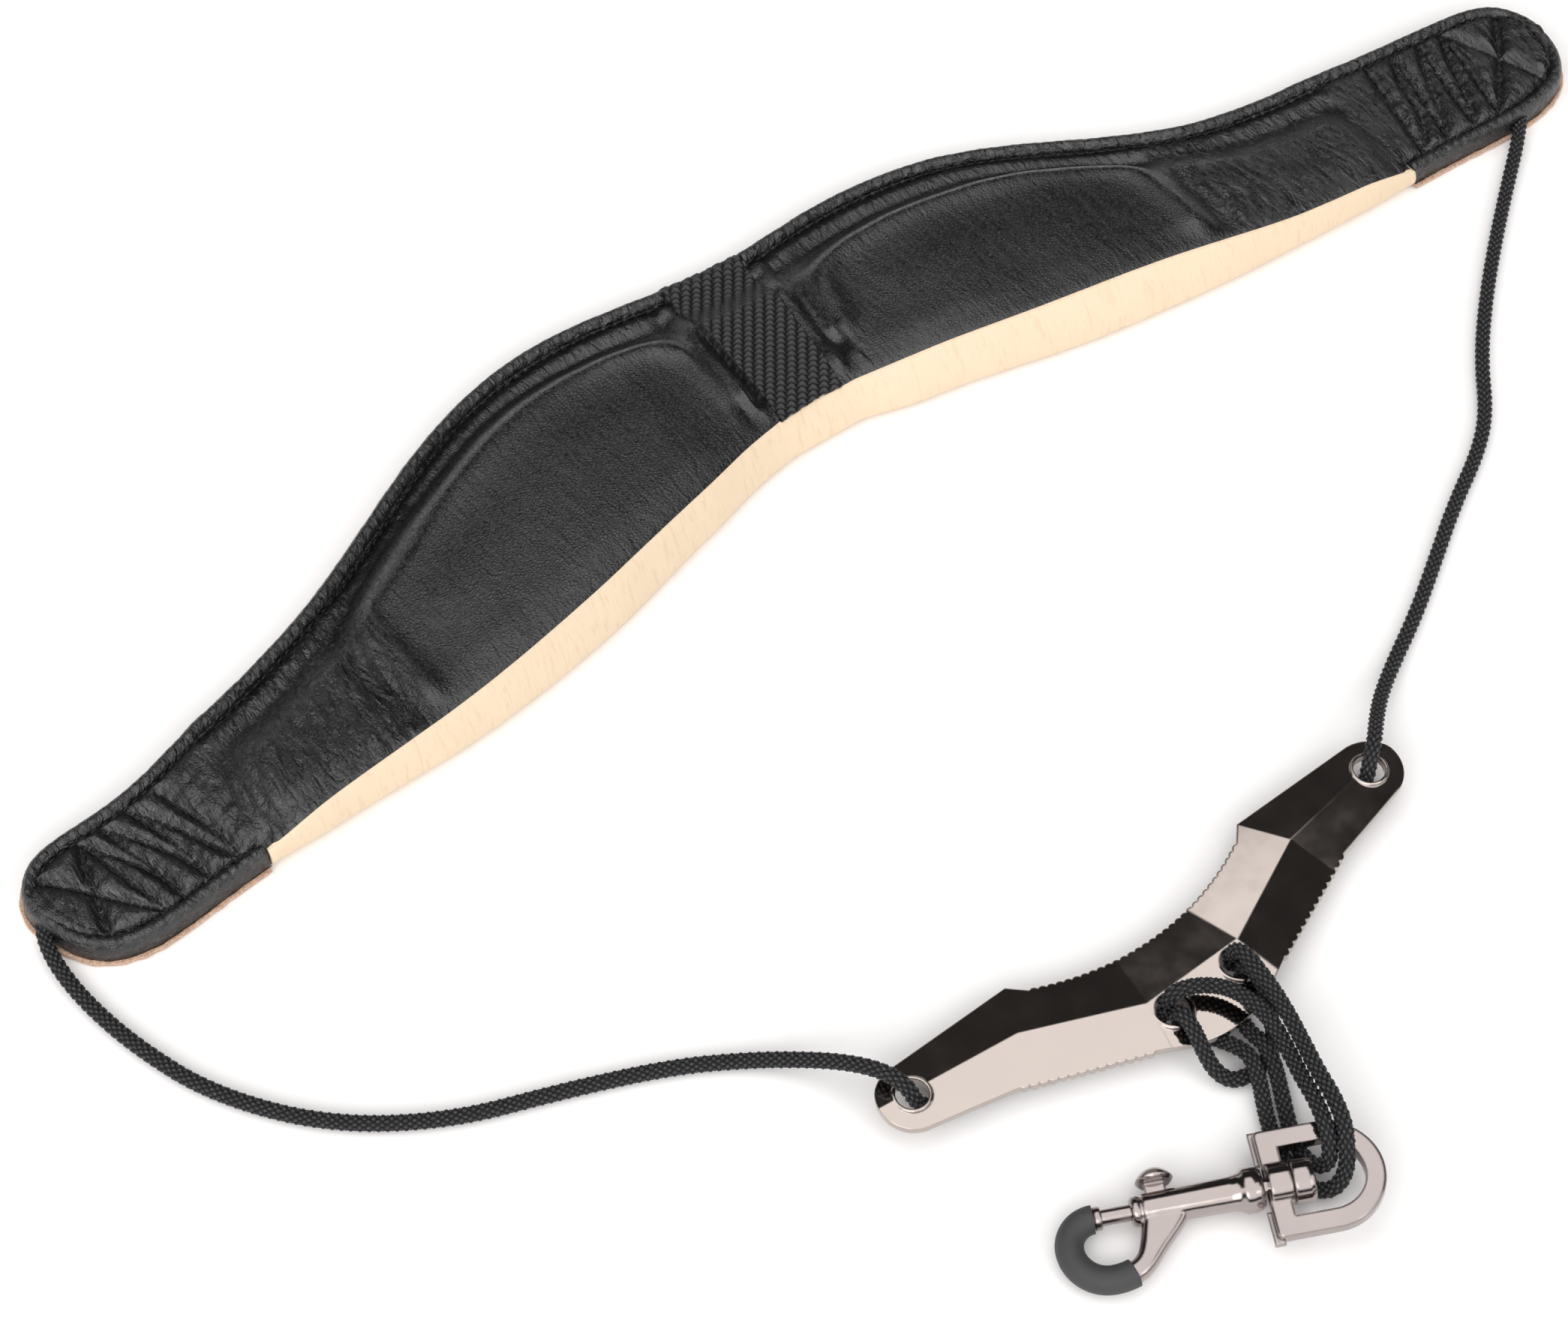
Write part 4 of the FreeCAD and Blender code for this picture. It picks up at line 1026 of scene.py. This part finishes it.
def make_webbing(bands, material):
    """Woven strip across the middle, over the foam and round the far edge."""
    rows, columns = 330, 110
    solid = Slices("centre_webbing")

    def edge(x, end):
        for band in bands:
            if band.sign * (x - WEB_LIMITS[band.half]) > 0:
                return band.far(x) if end else band.near(x)
        return solid.reach(x)[end]

    share = np.linspace(-0.03, 1.03, columns)
    down = np.linspace(0, 1, rows)
    skin = np.zeros((columns, rows, 3))
    ends = []
    for s in share:
        x_far, x_near = (x[0] + (x[1] - x[0]) * s for x in (WEB_FAR, WEB_NEAR))
        ends.append((x_far, edge(x_far, 1) - 0.0005, x_near, edge(x_near, 0)))
    ends = soften(ends, 8)
    for i, (x_far, y_far, x_near, y_near) in enumerate(ends):
        skin[i, :, 0] = x_far + (x_near - x_far) * down
        skin[i, :, 1] = y_far + (y_near - y_far) * down
        read = float(np.clip((x_far + x_near) / 2, *WEB_LIMITS))
        skin[i, :, 2] = solid.top(read, skin[i, :, 1])
    skin[..., 2] = soften(skin[..., 2], 8)
    skin[..., 2] = soften(skin[..., 2].T, 12).T
    # herringbone of little knots, in columns that run askew
    x, y = skin[..., 0], skin[..., 1]
    u = (x * math.cos(KNOT_LEAN) - y * math.sin(KNOT_LEAN)) / KNOT_ACROSS
    v = (x * math.sin(KNOT_LEAN) + y * math.cos(KNOT_LEAN)) / KNOT_ALONG
    v = v + 0.5 * (np.floor(u) % 2) + 0.55 * np.abs((u % 1) - 0.5)
    knot = np.abs(np.sin(math.pi * (u % 1))) ** 0.7 * np.abs(np.sin(math.pi * (v % 1))) ** 0.7
    sides = smoothstep(np.minimum(share, 1 - share), -0.03, 0.03)[:, None]
    skin[..., 2] += -0.0018 + 0.0023 * sides + 0.00078 * knot
    skin[..., 1] += 0.0018 * (1 - sides) * smoothstep(down, 0.9, 1.0)[None]
    # fold down over the far edge
    fold = []
    for drop, z_share in ((-0.0004, 0.97), (-0.0012, 0.75), (-0.0014, 0.45), (-0.0010, 0.12)):
        strip = skin[:, :1] - (0, drop, 0)
        strip[..., 2] = LEATHER * 0.5 + (strip[..., 2] - LEATHER * 0.5) * z_share
        fold.append(strip)
    tuck = skin[:, -1:] + (0, 0.0004, -0.0012)
    skin = np.concatenate(fold[::-1] + [skin, tuck], 1)
    rise = np.concatenate([knot[:, :1]] * 4 + [knot, knot[:, -1:]], 1)
    faces = grid_faces(columns, skin.shape[1])[:, ::-1]
    obj = mesh_object("webbing_middle", skin, faces, material)
    store(obj, "rise", rise)
    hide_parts("centre_webbing")
    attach(obj, "pad")


def capsule(length, radius, around=6):
    """Points and faces of one stitch, along +X, sunk at both ends."""
    profile = [(-0.5, 0.15), (-0.46, 0.75), (-0.3, 1.0), (0, 1.08), (0.3, 1.0), (0.46, 0.75),
               (0.5, 0.15)]
    turns = [math.tau * k / around for k in range(around)]
    points = [(share * length, math.cos(turn) * radius * thick,
               math.sin(turn) * radius * thick - (share * 2) ** 4 * radius * 1.6)
              for share, thick in profile for turn in turns]
    return np.array(points), grid_faces(len(profile), around, close=True)


def height_under(band_mesh, x, y):
    """Height of a mesh straight under a plan point."""
    hit, place, _, _ = band_mesh.ray_cast(Vector((x, y, 0.05)), Vector((0, 0, -1)))
    return place.z if hit else 0.0062


def make_stitches(band, leather, line, inward, material):
    """Thread along the binding and across the tongue."""
    inner = line + inward * (BINDING_W + 0.0003)
    runs = [resample(soften(inner, 4), STITCH_PITCH)]
    runs += [resample(row, STITCH_PITCH * 0.8) for row in quilt_lines(band)]
    shape, faces = capsule(STITCH_PITCH * 0.74, STITCH_R)
    points, quads = [], []
    bpy.context.view_layer.update()
    for run in runs:
        for here, there in zip(run, run[1:]):
            centre = (here + there) / 2
            along = (there - here) / np.linalg.norm(there - here)
            level = height_under(leather, *centre)
            ends = [height_under(leather, *(centre + along * STITCH_PITCH * s))
                    for s in (-0.3, 0.3)]
            slope = (ends[1] - ends[0]) / (STITCH_PITCH * 0.6)
            slope = max(-0.6, min(0.6, slope))
            x = centre[0] + shape[:, 0] * along[0] - shape[:, 1] * along[1]
            y = centre[1] + shape[:, 0] * along[1] + shape[:, 1] * along[0]
            z = level + STITCH_R * 0.9 + shape[:, 2] + shape[:, 0] * slope
            quads.append(faces + sum(len(p) for p in points))
            points.append(np.stack([x, y, z], -1))
    obj = mesh_object("stitches_" + band.side, np.concatenate(points), np.concatenate(quads),
                      material)
    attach(obj, "pad")


def make_band():
    black = black_leather()
    bound = black_leather("black_leather_binding", 1.1)
    tan = tan_leather()
    raw = raw_edge()
    bands = [Band("left"), Band("right")]
    sewing = thread()
    for band in bands:
        leather = make_top_leather(band, black)
        line, inward = make_binding(band, bound)
        make_stitches(band, leather, line, inward, sewing)
    make_lining(bands, tan, raw)
    make_webbing(bands, webbing_weave())


# ---- metal pieces
def dress(node, material):
    """Give a CAD piece its finish."""
    mesh = NODES[node].data
    mesh.materials.clear()
    mesh.materials.append(material)


def make_spring(material):
    """Coil round the swivel axis, seated on the rivet."""
    sides, steps = 10, SPRING_TURNS * 36
    pitch = SPRING_LENGTH / SPRING_TURNS
    along = np.array([math.cos(HOOK_TILT) * math.cos(HOOK_YAW),
                      math.cos(HOOK_TILT) * math.sin(HOOK_YAW), math.sin(HOOK_TILT)])
    across = np.array([-math.sin(HOOK_YAW), math.cos(HOOK_YAW), 0.0])
    up = np.cross(along, across)
    axes = np.array([along, across, up])
    turn = np.linspace(0, math.tau * SPRING_TURNS, steps)[:, None]
    round_wire = np.linspace(0, math.tau, sides, endpoint=False)[None]
    reach = SPRING_R + SPRING_WIRE_R * np.cos(round_wire)
    place = SPRING_FOOT - SPRING_LENGTH + pitch * turn / (math.tau)
    local = np.stack([place + SPRING_WIRE_R * np.sin(round_wire), -np.sin(turn) * reach,
                      np.cos(turn) * reach], -1)
    points = np.array(HOOK_AT) + local.reshape(-1, 3) @ axes
    obj = mesh_object("spring_coil", points, grid_faces(steps, sides, close=True), material)
    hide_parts("bolt_spring")
    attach(obj, "hook")
    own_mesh(obj)


def make_metal():
    dress("yoke_plate", black_nickel())
    cast = cast_nickel()
    for node in ("d_ring", "hook_body", "swivel_rivet", "bolt", "thumb_knob"):
        dress(node, cast)
    dress("hook_sleeve", soft_sleeve())
    make_spring(spring_steel())


make_camera()
make_world()
make_stage()
make_cords()
make_band()
make_metal()

bpy.context.view_layer.update()
